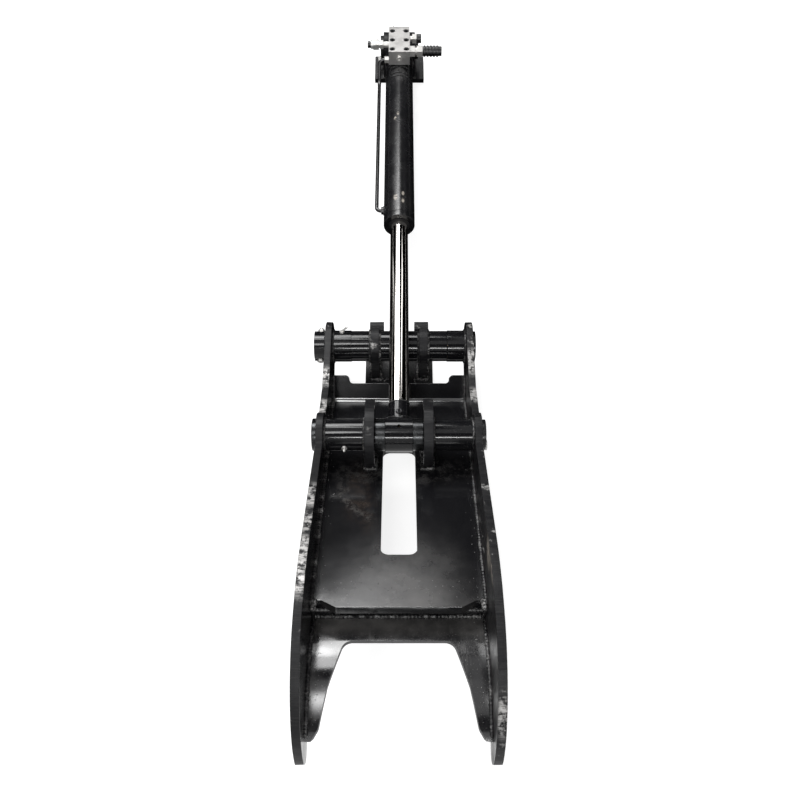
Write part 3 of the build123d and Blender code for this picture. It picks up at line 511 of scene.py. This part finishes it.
def dress_edges(mesh, width):
    """Bevels every edge that is sharper than 38 degrees."""
    edges = [
        edge for edge in mesh.edges
        if len(edge.link_faces) == 2 and edge.calc_face_angle(0) > radians(38)
    ]
    bmesh.ops.bevel(
        mesh, geom=edges, offset=width, affect="EDGES", segments=2,
        profile=0.5, material=-1, clamp_overlap=True)


def slice_along(mesh, direction, step):
    """Cuts the mesh at even steps along a direction, so that its outline can be roughened."""
    reach = [vertex.co.dot(direction) for vertex in mesh.verts]
    for index in range(int((max(reach) - min(reach)) / step)):
        everything = mesh.verts[:] + mesh.edges[:] + mesh.faces[:]
        place = direction * (min(reach) + (index + 1) * step)
        bmesh.ops.bisect_plane(mesh, geom=everything, dist=1e-6, plane_co=place, plane_no=direction)


def roughen(mesh, inward_at, depth):
    """Moves vertices by a depth along what inward_at gives for them, None for those that stay."""
    mesh.normal_update()
    moves = [(vertex, inward_at(vertex)) for vertex in mesh.verts]
    for vertex, inward in moves:
        if inward is not None:
            vertex.co += inward * depth


def mesh_data(name, mesh):
    """The mesh data of a finished bmesh."""
    data = bpy.data.meshes.new(name)
    mesh.to_mesh(data)
    mesh.free()
    return data


def add_object(name, data):
    """An object in the scene's own collection."""
    made = bpy.data.objects.new(name, data)
    bpy.context.scene.collection.objects.link(made)
    return made


def add_piece(name, mesh, body, looks, even_normals=False):
    """Makes the object of a finished mesh, which rides on a body."""
    mesh.normal_update()
    data = mesh_data(name, mesh)
    for look in looks:
        data.materials.append(finishes[look])
    data.polygons.foreach_set("use_smooth", [True] * len(data.polygons))
    data.set_sharp_from_angle(angle=radians(40))
    piece = add_object(name, data)
    if even_normals:
        modifier = piece.modifiers.new("even normals", "WEIGHTED_NORMAL")
        modifier.keep_sharp = True
    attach(piece, body)
    return piece


def replace_node(node, ending, mesh, looks):
    """Puts a finished mesh in the place of its CAD node."""
    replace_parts(add_piece(node + ending, mesh, bodies[node], looks, True), node)


def rim_edges(ring):
    """Edges that run between two vertices of a ring, in a steady order."""
    inside = set(ring)
    edges = dict.fromkeys(edge for vertex in ring for edge in vertex.link_edges)
    return [edge for edge in edges if set(edge.verts) <= inside]


def bead_into(mesh, path, radius, ripple, seed):
    """Lays one weld bead along a path, as a ring that is extruded from station to station."""
    tip, shoulder, wander = 0.45, 0.85, 0.16
    size = radius * tip
    ring = bmesh.ops.create_circle(mesh, cap_ends=True, segments=8, radius=size)["verts"]
    heading = (path[1] - path[0]).normalized()
    turn = heading.to_track_quat("Z", "Y")
    bmesh.ops.rotate(mesh, verts=ring, cent=(0, 0, 0), matrix=turn.to_matrix())
    bmesh.ops.translate(mesh, verts=ring, vec=path[0])
    last = len(path) - 1
    for index in range(1, len(path)):
        grown = bmesh.ops.extrude_edge_only(mesh, edges=rim_edges(ring))["geom"]
        ring = [item for item in grown if isinstance(item, bmesh.types.BMVert)]
        ahead = (path[min(index + 1, last)] - path[index - 1]).normalized()
        turn = heading.rotation_difference(ahead)
        heading = ahead
        wave = sin(index * 2.1) * ripple + noise.noise(Vector((index * 0.31, seed, 0))) * ripple * 1.6
        from_end = min(index, last - index)
        wanted = radius * (1 + wave) * {0: tip, 1: shoulder}.get(from_end, 1.0)
        bmesh.ops.translate(mesh, verts=ring, vec=path[index] - path[index - 1])
        bmesh.ops.rotate(mesh, verts=ring, cent=path[index], matrix=turn.to_matrix())
        bmesh.ops.scale(
            mesh, verts=ring, vec=(wanted / size,) * 3, space=Matrix.Translation(-path[index]))
        size = wanted
        if from_end > 0:
            drift = Vector([noise.noise(Vector((index * 0.23, seed, lane))) for lane in (7, 17, 27)])
            drift = drift * radius * wander
            bmesh.ops.translate(mesh, verts=ring, vec=drift)
            path[index] = path[index] + drift
    bmesh.ops.contextual_create(mesh, geom=rim_edges(ring))


def add_beads(name, body, paths, scale, look, seed):
    """A piece of several beads. Each path is a list of points in metres."""
    sizes = bpy.context.scene.thumb_sizes
    mesh = bmesh.new()
    for index, path in enumerate(paths):
        bead_into(mesh, list(path), sizes.bead_radius * scale, sizes.bead_ripple, seed + index * 3.7)
    bmesh.ops.recalc_face_normals(mesh, faces=mesh.faces)
    add_piece(name, mesh, body, [look])


def stations(corners, step, closed=False):
    """Even stations along straight runs between corners, a little past the first where closed."""
    corners = list(corners) + ([corners[0], corners[0].lerp(corners[1], 0.04)] if closed else [])
    points = [corners[0]]
    for start, end in zip(corners, corners[1:]):
        count = max(1, round((end - start).length / step))
        points += [start.lerp(end, index / count) for index in range(1, count + 1)]
    return points


def thumb_run(corners, step, closed=False):
    """Stations between corners on the thumb, in millimetres."""
    return stations([thumb_point(*corner) for corner in corners], step, closed)


def ring_path(centre, axis, radius, step, start=0.0, sweep=2 * pi):
    """Stations on a circle of a radius in millimetres, a little past its start where it is full."""
    radius = radius * MM
    other = axis.cross(above)
    count = max(12, round(radius * sweep / step))
    past = 2 if sweep == 2 * pi else 0
    angles = [start + sweep * index / count for index in range(count + 1 + past)]
    return [centre + (above * cos(angle) + other * sin(angle)) * radius for angle in angles]


def both_sides(path):
    """A path and its mirror image in the middle plane."""
    return [path, [Vector((-point.x, point.y, point.z)) for point in path]]


def drop_into(mesh, place, radius, squash, subdivisions):
    """A squashed drop of metal, its radius in millimetres."""
    ball = bmesh.ops.create_icosphere(mesh, subdivisions=subdivisions, radius=radius * MM)["verts"]
    bmesh.ops.scale(mesh, verts=ball, vec=squash)
    bmesh.ops.translate(mesh, verts=ball, vec=place)


# Pieces


class THUMB_OT_finishes(bpy.types.Operator):
    """Makes the finishes and gives them to the CAD parts that stay as they are"""

    bl_idname = "thumb.finishes"
    bl_label = "Finishes"

    def execute(self, context):
        make_finishes(context.scene.thumb_colours)
        by_slot = {
            "black_paint": "paint", "bracket_paint": "bracket", "oiled_steel": "pin",
            "rod_chrome": "chrome", "zinc_steel": "zinc", "block_metal": "block",
            "black_screw": "screw", "bush_bronze": "bronze", "seal_rubber": "rubber",
            "cap_plastic": "cap",
        }
        special = {"barrel": "barrel", "transfer_tube": "barrel"}
        for node, part in frame["nodes"].items():
            part.data.materials.clear()
            part.data.materials.append(finishes[special.get(node, by_slot[slots[node]])])
        return {"FINISHED"}


def torch_mark(vertex, seed):
    """How a vertex of a cut outline moves inwards, as a share of the cut's depth."""
    if all(abs(face.normal.x) > 0.97 for face in vertex.link_faces):
        return None
    # Pins, and the radius about each, in millimetres, that stays round
    for pin, radius in ((pivot, 49), (rod_eye, 46), (base_pin, 32)):
        if (vertex.co - pin).yz.length < radius * MM:
            return None
    outward = Vector((0, vertex.normal.y, vertex.normal.z))
    if outward.length < 0.1:
        return None
    place = Vector((vertex.co.x * 30 + seed * 3.1, vertex.co.y * 95, vertex.co.z * 95))
    depth = 0.5 + 0.5 * noise.noise(place) + 0.3 * noise.noise(place * 3.1)
    return outward.normalized() * -max(0.0, depth)


class THUMB_OT_cut_plates(bpy.types.Operator):
    """Side plates, lugs and bracket ears with dressed corners and torch-cut outlines"""

    bl_idname = "thumb.cut_plates"
    bl_label = "Cut plates"

    def execute(self, context):
        sizes = context.scene.thumb_sizes
        # Node, finishes of its faces and edge, directions and step of its slices, share of the depth
        plates = [
            ("side_plate_left", ["dark wall", "cut"], [along], 6.5, 1.0),
            # The right plate's paler wall paint is partly painted light
            ("side_plate_right", ["wall", "cut"], [along], 6.5, 1.0),
            ("lug_left", ["ring", "dark cut"], [along, above], 5.0, 0.9),
            ("lug_right", ["ring", "dark cut"], [along, above], 5.0, 0.9),
            ("pivot_ear_left", ["bracket", "cut"], [along, above], 5.0, 1.6),
            ("pivot_ear_right", ["bracket", "cut"], [along, above], 5.0, 1.6),
            ("base_ear_left", ["bracket", "dark cut"], [along, above], 6.0, 0.8),
            ("base_ear_right", ["bracket", "dark cut"], [along, above], 6.0, 0.8),
        ]
        for seed, (node, looks, directions, step, share) in enumerate(plates):
            mesh = cad_copy(node)
            dress_edges(mesh, sizes.plate_edge)
            for direction in directions:
                slice_along(mesh, direction, step * MM)
            roughen(mesh, lambda vertex: torch_mark(vertex, seed), sizes.cut_depth * share)
            for face in mesh.faces:
                face.material_index = 1 if abs(face.normal.x) < edge_lean else 0
            replace_node(node, "_cut", mesh, looks)
        return {"FINISHED"}


def web_lean(face):
    """How well a face lies in the web plate or in its lip, 1 where it does."""
    web_normal = (above * cos(web_slope) + along * sin(web_slope)).normalized()
    lip_normal = (above * cos(lip_rise) - along * sin(lip_rise)).normalized()
    return max(abs(face.normal.dot(web_normal)), abs(face.normal.dot(lip_normal)))


def toe_lean(face):
    """How well a face lies in the roll of the toe plate, 1 where it does."""
    spoke = face.calc_center_median() - thumb_point(0, *toe_axis)
    return abs(face.normal.dot(Vector((0, spoke.y, spoke.z)).normalized()))


def upright_lean(face):
    """How well a face lies across the cylinder's direction, 1 where it does."""
    return abs(face.normal.dot(along))


def level_lean(face):
    """How level a face is, 1 where it is level."""
    return abs(face.normal.z)


def cut_mark(vertex, lean, welded_x, seed):
    """How a vertex of an edge moves inwards, unless it lies at the weld to a side plate."""
    rims = [face for face in vertex.link_faces if lean(face) < edge_lean]
    if not rims or abs(vertex.co.x) > welded_x:
        return None
    depth = 0.5 + 0.6 * noise.noise(vertex.co * 110 + Vector((0, seed * 5.3, 0)))
    return rims[0].normal * -max(0.0, depth)


class THUMB_OT_web_and_toe(bpy.types.Operator):
    """Web plate, toe plate, cross plate and the two bracket plates, with dressed edges"""

    bl_idname = "thumb.web_and_toe"
    bl_label = "Web and toe plates"

    def execute(self, context):
        sizes = context.scene.thumb_sizes
        # Node, finishes of its faces, edge and bend, how its faces lean, step of its slices, share of
        # the cut's depth, and X of its welds in millimetres
        plates = [
            ("web_plate", ["web", "cut", "bend"], web_lean, 7.0, 0.7, seam_x),
            ("toe_plate", ["toe", "dark cut"], toe_lean, 0, 0, inf),
            ("cross_plate", ["paint", "dark cut"], upright_lean, 0, 0, inf),
            ("pivot_base_plate", ["bracket", "dark cut"], level_lean, 8.0, 0.6, inf),
            ("base_plate", ["bracket", "dark cut"], level_lean, 8.0, 0.6, inf),
        ]
        for seed, (node, looks, lean, step, share, weld_x) in enumerate(plates):
            mesh = cad_copy(node)
            dress_edges(mesh, sizes.plate_edge * 0.8)
            if step:
                slice_along(mesh, across, step * MM)
                roughen(
                    mesh, lambda vertex: cut_mark(vertex, lean, weld_x * MM, seed),
                    sizes.cut_depth * share)
            for face in mesh.faces:
                bent = "bend" in looks and lean(face) < 0.998 and abs(face.normal.x) < 0.1
                face.material_index = 1 if lean(face) < edge_lean else 2 if bent else 0
            replace_node(node, "_dressed", mesh, looks)
        return {"FINISHED"}


class THUMB_OT_turned_parts(bpy.types.Operator):
    """Pins, bosses, tubes, nuts, bolts and fittings with their edges broken"""

    bl_idname = "thumb.turned_parts"
    bl_label = "Turned parts"

    def execute(self, context):
        # Finish, width of the broken edge in millimetres, nodes
        parts = [
            ("ring", 1.0, ["pin_tube_left", "pin_tube_right"]),
            ("ring", 1.2, ["pivot_tube"]),
            ("ring", 1.4, ["pivot_boss_left", "pivot_boss_right", "rod_eye"]),
            ("ring", 1.8, ["pivot_pin_collar"]),
            ("pin", 1.6, ["spacer_left", "spacer_right"]),
            ("pin", 2.0, ["pivot_pin", "rod_pin", "base_pin"]),
            ("paint", 1.4, ["rod_pin_flag"]),
            ("bracket", 1.4, ["base_pin_flag"]),
            ("barrel", 0.8, ["rod_port_boss"]),
            ("barrel", 1.0, ["valve_pad"]),
            ("barrel", 1.6, ["gland"]),
            ("barrel", 2.0, ["base_end"]),
            ("block", 1.0, ["valve_block"]),
            ("cap", 1.0, ["right_coupling"]),
            ("cap", 1.2, ["left_cap", "second_cap"]),
            ("screw", 0.4, ["rod_eye_nipple"]),
            ("screw", 0.6, ["valve_screws"]),
            ("zinc", 0.4, ["thumb_nipples"]),
            ("zinc", 0.6, ["valve_plug", "bleed_fitting", "transfer_tube_nut"]),
            ("zinc", 0.8, ["left_adapter", "right_adapter", "second_adapter"]),
            ("zinc", 0.9, ["pivot_keeper_bolt", "pivot_keeper_nut", "rod_pin_bolt", "base_pin_bolt"]),
        ]
        for look, width, nodes in parts:
            for node in nodes:
                mesh = cad_copy(node)
                dress_edges(mesh, width * MM)
                replace_node(node, "_turned", mesh, [look])
        return {"FINISHED"}


def web_welds(step):
    """Along the web plate's back and underside, and round the lugs' feet."""
    lip_u = web_bend[0] - lip_length * cos(lip_rise)
    lip_v = web_bend[1] + lip_length * sin(lip_rise)
    last_u = web_end_u - 6
    top = [
        (seam_x, lip_u, lip_v + 2),
        (seam_x, web_bend[0], web_bend[1] + 3),
        (seam_x, last_u, web_back(last_u) + 2),
    ]
    right, left = both_sides(thumb_run(top, step))
    add_beads("web_seam_right", "thumb", [right], 1.05, "weld", 2)
    # The left seam takes the bright weld, paler than the right one: a painted highlight along that bead
    add_beads("web_seam_left", "thumb", [left], 1.05, "bright weld", 3)
    deep = web_thickness + 2
    last_u = web_end_u - 8
    under = [
        (seam_x, web_bend[0] + 14, web_bend[1] - deep + 6),
        (seam_x, last_u + deep * sin(web_slope), web_back(last_u) - deep * cos(web_slope)),
    ]
    add_beads("web_under_seams", "thumb", both_sides(thumb_run(under, step)), 1.05, "weld", 5)
    corners = [
        (lug_inner_x, lug_low_u), (lug_inner_x, lug_high_u),
        (lug_outer_x, lug_high_u), (lug_outer_x, lug_low_u),
    ]
    feet = thumb_run([(x, u, web_back(u) + 2) for x, u in corners], step, closed=True)
    add_beads("lug_feet", "thumb", both_sides(feet), 1.15, "bright weld", 9)


def pin_welds(step):
    """Round the pin tubes, the pivot's bosses and the collar."""
    rings = []
    for x in (lug_outer_x, seam_x):
        rings += both_sides(ring_path(thumb_point(x, eye_u, eye_v), across, 45, step))
    add_beads("tube_rings", "thumb", rings, 0.85, "weld", 13)
    rings = both_sides(ring_path(thumb_point(seam_x, 0, 0), across, 49.5, step))
    add_beads("boss_rings", "thumb", rings, 0.85, "weld", 17)
    collar = ring_path(thumb_point(-wall_x - 22, 0, 0), across, 46, step)
    add_beads("collar_ring", "thumb", [collar], 0.7, "weld", 19)


def cross_welds(step):
    """Round the outer face of the cross plate."""
    outer_u = web_end_u - 14 + web_thickness * sin(web_slope)
    foot_v = toe_axis[1] + sqrt(toe_radius ** 2 - (outer_u + 3 - toe_axis[0]) ** 2)
    roof_v = web_back(outer_u) - web_thickness / cos(web_slope) - 2
    foot = thumb_run([(x, outer_u + 3, foot_v + 3) for x in (-seam_x, seam_x)], step)
    roof = thumb_run([(x, outer_u + 2, roof_v) for x in (-seam_x, seam_x)], step)
    upright = thumb_run([(seam_x, outer_u + 2, v) for v in (foot_v + 4, roof_v)], step)
    add_beads("cross_foot", "thumb", [foot], 1.3, "weld", 23)
    add_beads("cross_seams", "thumb", [roof] + both_sides(upright), 1.0, "weld", 29)


def toe_welds(step):
    """Along the toe plate's back and gripping side, and lumps at the web plate's end corners."""
    proud = 1.5
    seams = [
        ("toe_seams", toe_radius + proud, -35, 31),
        ("toe_grip_seams", toe_radius - toe_thickness - proud, -38, 37),
    ]
    tip_angle = 22.5
    for name, radius, head_angle, seed in seams:
        sweep = tip_angle - head_angle
        count = round(radians(sweep) * toe_radius * MM / step)
        angles = [head_angle + sweep * index / count for index in range(count + 1)]
        path = [toe_point(seam_x, radius, angle) for angle in angles]
        add_beads(name, "thumb", both_sides(path), 1.05, "weld", seed)
    lumps = []
    for inset, reach in ((-14, 14), (-6, 12), (3, 12)):
        u = web_end_u + inset
        ends = [(seam_x + 1, u, web_back(u) + 3), (seam_x - reach, u, web_back(u) + 1)]
        lumps += both_sides(thumb_run(ends, step))
    add_beads("web_corner_lumps", "thumb", lumps, 1.5, "bright weld", 41)


class THUMB_OT_thumb_welds(bpy.types.Operator):
    """Fillet welds of the thumb's plates, lugs, tubes and bosses"""

    bl_idname = "thumb.thumb_welds"
    bl_label = "Thumb welds"

    def execute(self, context):
        step = context.scene.thumb_sizes.bead_step
        web_welds(step)
        pin_welds(step)
        cross_welds(step)
        toe_welds(step)
        return {"FINISHED"}


def foot_path(plate, inner, outer, reach, middle, step):
    """Round the ears' feet on a plate: millimetres, but the middle's Y in metres."""
    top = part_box(plate)[1].z + 1.5 * MM
    corners = [(inner, -reach), (inner, reach), (outer, reach), (outer, -reach)]
    points = [Vector((x * MM, middle + y * MM, top)) for x, y in corners]
    return both_sides(stations(points, step, closed=True))


class THUMB_OT_bracket_welds(bpy.types.Operator):
    """Welds of the pivot bracket and of the bracket at the cylinder's base"""

    bl_idname = "thumb.bracket_welds"
    bl_label = "Bracket welds"

    def execute(self, context):
        step = context.scene.thumb_sizes.bead_step
        rings = []
        for x in (60, 89):
            rings += both_sides(ring_path(thumb_point(x, 0, 0), across, 48, step))
        add_beads("pivot_tube_rings", "pivot_bracket", rings, 0.95, "bright weld", 43)
        feet = foot_path("pivot_base_plate", 59.5, 89.5, 61.5, 0, step)
        add_beads("pivot_ear_feet", "pivot_bracket", feet, 1.1, "bright weld", 47)
        inner, outer = [corner.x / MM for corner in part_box("base_ear_right")]
        feet = foot_path("base_plate", inner - 2, outer + 2, 60.5, base_pin.y, step)
        add_beads("base_ear_feet", "base_bracket", feet, 0.8, "weld", 53)
        return {"FINISHED"}


def hoop(s, radius, step, *arc):
    """Stations round the cylinder at s."""
    return ring_path(cylinder_point(0, s, 0), along, radius, step, *arc)


def turns(count):
    """Angles round a full circle and one step past it."""
    return [2 * pi * index / count for index in range(count + 2)]


def rod_welds(step):
    """The saddle where the rod's neck meets its eye, and the ring round the rod's end."""
    neck, eye, rod, rod_end = 29.5, 48.0, 28.6, 95.5
    saddle = []
    for turn in turns(62):
        seat = sqrt(eye ** 2 - (neck * sin(turn)) ** 2) + 1
        saddle.append(cylinder_point((neck + 1) * cos(turn), seat, (neck + 1) * sin(turn)))
    add_beads("rod_neck_bead", "rod", [saddle], 0.75, "weld", 59)
    add_beads("rod_end_bead", "rod", [hoop(rod_end, rod, step * 0.8)], 0.45, "bright weld", 61)


def boss_weld():
    """The saddle where the transfer tube's boss meets the barrel's left side."""
    low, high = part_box("rod_port_boss")
    middle = ((low + high) / 2 - rod_eye).dot(along) / MM
    radius = 13.5
    saddle = []
    for turn in turns(36):
        height = radius * sin(turn)
        seat = sqrt(barrel_radius ** 2 - height ** 2) + 0.5
        saddle.append(cylinder_point(-seat, middle + radius * cos(turn), height))
    add_beads("tube_boss_bead", "barrel", [saddle], 0.5, "weld", 71)


class THUMB_OT_cylinder_welds(bpy.types.Operator):
    """Welds of the rod eye, the barrel's ends, the tube boss and the valve pad"""

    bl_idname = "thumb.cylinder_welds"
    bl_label = "Cylinder welds"

    def execute(self, context):
        step = context.scene.thumb_sizes.bead_step
        rod_welds(step)
        ends = [hoop(s, radius, step) for s, radius in ((1650, 51.5), (1645, 50))]
        add_beads("barrel_base_beads", "barrel", ends, 0.85, "weld", 67)
        boss_weld()
        pad_edge, pad_x = 25, 26
        seat = sqrt(barrel_radius ** 2 - pad_edge ** 2) + 0.5
        pad = stations([cylinder_point(pad_x, s, seat) for s in (1592, 1648)], step)
        add_beads("valve_pad_beads", "barrel", both_sides(pad), 0.7, "weld", 73)
        half = radians(38)
        bands = [hoop(s, barrel_radius, step, -half, 2 * half) for s in (1506, 1525, 1560)]
        add_beads("barrel_bands", "barrel", bands, 0.7, "weld", 79)
        return {"FINISHED"}


def spatter_place(index, spread):
    """Where a drop lies: in turn near the web's end, beside its seams and beside the toe's seams."""
    share = (index * 0.618034) % 1
    side = 1 if index % 2 else -1
    kind = index % 3
    if kind == 2:
        return toe_point(side * (wall_x - 8 - spread[0] * 28), toe_radius, -32 + share * 50)
    if kind == 1:
        x = side * (wall_x - 6 - spread[0] * spread[1] * 55)
        u = 250 + share * 620
    else:
        x = (share * 2 - 1) * (wall_x - 12)
        u = web_end_u - 8 - spread[0] * 90
    return thumb_point(x, u, web_back(u))


class THUMB_OT_spatter(bpy.types.Operator):
    """Weld spatter on the web, toe and pivot plates, and grinder scars on the right wall"""

    bl_idname = "thumb.spatter"
    bl_label = "Spatter and scars"

    def execute(self, context):
        sizes = context.scene.thumb_sizes
        mesh = bmesh.new()
        for index in range(sizes.spatter_count):
            draws = [noise.noise(Vector((index * 7.31, row * 11.7, 3.3))) for row in range(3)]
            spread = [0.5 + 0.5 * draw for draw in draws]
            drop_into(mesh, spatter_place(index, spread), 0.6 + spread[2] * 1.1, (1, 1, 0.6), 1)
        add_piece("thumb_spatter", mesh, "thumb", ["bright weld"])

        mesh = bmesh.new()
        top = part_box("pivot_base_plate")[1].z
        tacks = [
            (-56, -58, 4.5), (-39, -58, 4.2), (48, -60, 3.2),
            (53, -58, 4.5), (50, -67, 2.8), (-46, -66, 2.6),
        ]
        for x, y, radius in tacks:
            drop_into(mesh, (x * MM, y * MM, top), radius, (1.3, 1, 0.45), 2)
        add_piece("plate_tacks", mesh, "pivot_bracket", ["bright weld"])

        scars = []
        for u in (655, 700, 748):
            ends = [(wall_x, u - 10, web_back(u) + 34), (wall_x, u + 14, web_back(u) + 62)]
            scars.append(thumb_run(ends, sizes.bead_step * 0.7))
        add_beads("wall_scars", "thumb", scars, 0.5, "bright weld", 83)
        return {"FINISHED"}


def seen(nodes):
    """1 for rays that the camera, a reflection or a clear part sends to the background."""
    rays = nodes.node("ShaderNodeLightPath", {}).outputs
    total = nodes.maths("MAXIMUM", rays["Is Camera Ray"], rays["Is Glossy Ray"])
    return nodes.maths("MAXIMUM", total, rays["Is Transmission Ray"])


def add_floor():
    """A white floor just under the object, which keeps a soft shadow."""
    mesh = bmesh.new()
    bmesh.ops.create_grid(mesh, x_segments=1, y_segments=1, size=30)
    bmesh.ops.translate(mesh, verts=mesh.verts, vec=(0, 0, -0.5 * MM))
    floor = add_object("floor", mesh_data("floor", mesh))
    material = bpy.data.materials.new("white floor")
    material.use_nodes = True
    nodes = Nodes(material.node_tree)
    nodes.tree.nodes.remove(nodes.tree.nodes["Principled BSDF"])
    grey = nodes.node("ShaderNodeBsdfDiffuse", {"Color": (0.4, 0.4, 0.4)}).outputs["BSDF"]
    glow = nodes.node("ShaderNodeEmission", {"Color": (1, 1, 1), "Strength": 0.84}).outputs["Emission"]
    both = nodes.node("ShaderNodeAddShader", {0: grey, 1: glow}).outputs["Shader"]
    mix = nodes.node("ShaderNodeMixShader", {"Fac": seen(nodes), 1: grey, 2: both})
    nodes.feed(nodes.tree.nodes["Material Output"], {"Surface": mix.outputs["Shader"]})
    floor.data.materials.append(material)


def add_world(scene):
    """White where it is seen, and dimmer where it only lights."""
    scene.world = bpy.data.worlds.new("studio")
    scene.world.use_nodes = True
    nodes = Nodes(scene.world.node_tree)
    levels = {"Value": seen(nodes), "To Min": scene.studio.world_light, "To Max": 1.0}
    strength = nodes.node("ShaderNodeMapRange", levels).outputs["Result"]
    nodes.feed(nodes.tree.nodes["Background"], {"Color": (1, 1, 1), "Strength": strength})


def add_lamps(studio):
    """Flat lamps that face the object: place, width and height in metres, and power."""
    target = Vector((0, -0.4, 0.3))
    lamps = {
        "back lamp": ((-1.477, 3.08, 3.58), 3.7, 1.75, studio.back_light),
        "side lamp": ((2.0, 3.1, 3.0), 0.6, 1.5, studio.side_light),
        "top lamp": ((-0.62, -1.1, 3.4), 0.5, 1.3, studio.top_light),
        "toe lamp": ((-0.62, 1.9, 3.4), 0.5, 1.7, studio.toe_light),
        "front lamp": ((0.1, -3.2, 3.1), 1.2, 0.25, studio.front_light),
    }
    for name, (place, width, height, power) in lamps.items():
        data = bpy.data.lights.new(name, "AREA")
        data.shape = "RECTANGLE"
        data.size, data.size_y = width, height
        data.energy = power
        lamp = add_object(name, data)
        lamp.location = place
        lamp.rotation_euler = (target - Vector(place)).to_track_quat("-Z", "Y").to_euler()
        lamp.visible_camera = False


def add_cards():
    """Black cards that only reflections see: upright round the object, level under and over it."""
    cloth = bpy.data.materials.new("black card")
    cloth.use_nodes = True
    nodes = Nodes(cloth.node_tree)
    dull = {"Base Color": (0.004, 0.004, 0.004), "Roughness": 1.0, "Specular IOR Level": 0.0}
    nodes.feed(nodes.tree.nodes["Principled BSDF"], dull)
    # Width and height, place before the turn, and degrees from +Y towards +X, None for a level card
    cards = {
        "back card": (6.6, 3.9, (0, 6.8, 1.95), -20),
        "right card": (11.0, 9.6, (0, 6.8, 4.8), 42),
        "left card": (5.0, 5.6, (0, 6.8, 2.8), -68),
        "front card": (4.4, 6.0, (0, 3.0, 7.2), 180),
        "floor card": (6.4, 4.0, (0, 1.9, -0.0002), None),
        "ceiling card": (3.5, 3.6, (-1.25, 2.6, 5.0), None),
    }
    for name, (width, height, place, azimuth) in cards.items():
        mesh = bmesh.new()
        bmesh.ops.create_grid(mesh, x_segments=1, y_segments=1, size=0.5)
        bmesh.ops.scale(mesh, verts=mesh.verts, vec=(width, height, 1))
        upright = Matrix.Rotation(0 if azimuth is None else pi / 2, 3, "X")
        bmesh.ops.rotate(mesh, verts=mesh.verts, cent=(0, 0, 0), matrix=upright)
        bmesh.ops.translate(mesh, verts=mesh.verts, vec=place)
        turned = Matrix.Rotation(-radians(azimuth or 0), 3, "Z")
        bmesh.ops.rotate(mesh, verts=mesh.verts, cent=(0, 0, 0), matrix=turned)
        card = add_object(name, mesh_data(name, mesh))
        card.data.materials.append(cloth)
        for ray in ("camera", "diffuse", "shadow", "transmission"):
            setattr(card, "visible_" + ray, False)


def add_camera(scene):
    """The camera of the photograph, with a lens as long as its sensor is wide."""
    camera = add_object("camera", bpy.data.cameras.new("camera"))
    camera.data.sensor_width = 36
    camera.data.lens = 36
    camera.data.clip_start, camera.data.clip_end = 0.01, 100
    camera.location = scene.studio.camera_place
    camera.rotation_euler = (scene.studio.camera_tilt, 0, 0)
    scene.camera = camera


class THUMB_OT_stage(bpy.types.Operator):
    """Floor, world, lamps, black cards and the camera at the photograph's angle"""

    bl_idname = "thumb.stage"
    bl_label = "Stage"

    def execute(self, context):
        scene = context.scene
        scene.view_settings.view_transform = "Standard"
        add_floor()
        add_world(scene)
        add_lamps(scene.studio)
        add_cards()
        add_camera(scene)
        return {"FINISHED"}


class THUMB_PT_panel(bpy.types.Panel):
    """Lists the sizes, the colours and the steps"""

    bl_idname = "THUMB_PT_panel"
    bl_label = "Excavator thumb"
    bl_space_type = "VIEW_3D"
    bl_region_type = "UI"
    bl_category = "Thumb"

    def draw(self, context):
        for name, group in groups.items():
            box = self.layout.box()
            for field in group.__annotations__:
                box.prop(getattr(context.scene, name), field)
        for step in steps:
            self.layout.operator(step.bl_idname)


steps = [
    THUMB_OT_finishes,
    THUMB_OT_cut_plates,
    THUMB_OT_web_and_toe,
    THUMB_OT_turned_parts,
    THUMB_OT_thumb_welds,
    THUMB_OT_bracket_welds,
    THUMB_OT_cylinder_welds,
    THUMB_OT_spatter,
    THUMB_OT_stage,
]
groups = {"thumb_sizes": ThumbSizes, "thumb_colours": ThumbColours, "studio": StudioSettings}


def register():
    for group in groups.values():
        bpy.utils.register_class(group)
    for name, group in groups.items():
        setattr(bpy.types.Scene, name, PointerProperty(type=group))
    for step in steps + [THUMB_PT_panel]:
        bpy.utils.register_class(step)


def unregister():
    for step in reversed(steps + [THUMB_PT_panel]):
        bpy.utils.unregister_class(step)
    for name in groups:
        delattr(bpy.types.Scene, name)
    for group in groups.values():
        bpy.utils.unregister_class(group)


def main():
    """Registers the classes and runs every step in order."""
    register()
    for step in steps:
        group, name = step.bl_idname.split(".")
        getattr(getattr(bpy.ops, group), name)()


if __name__ == "__main__":
    main()
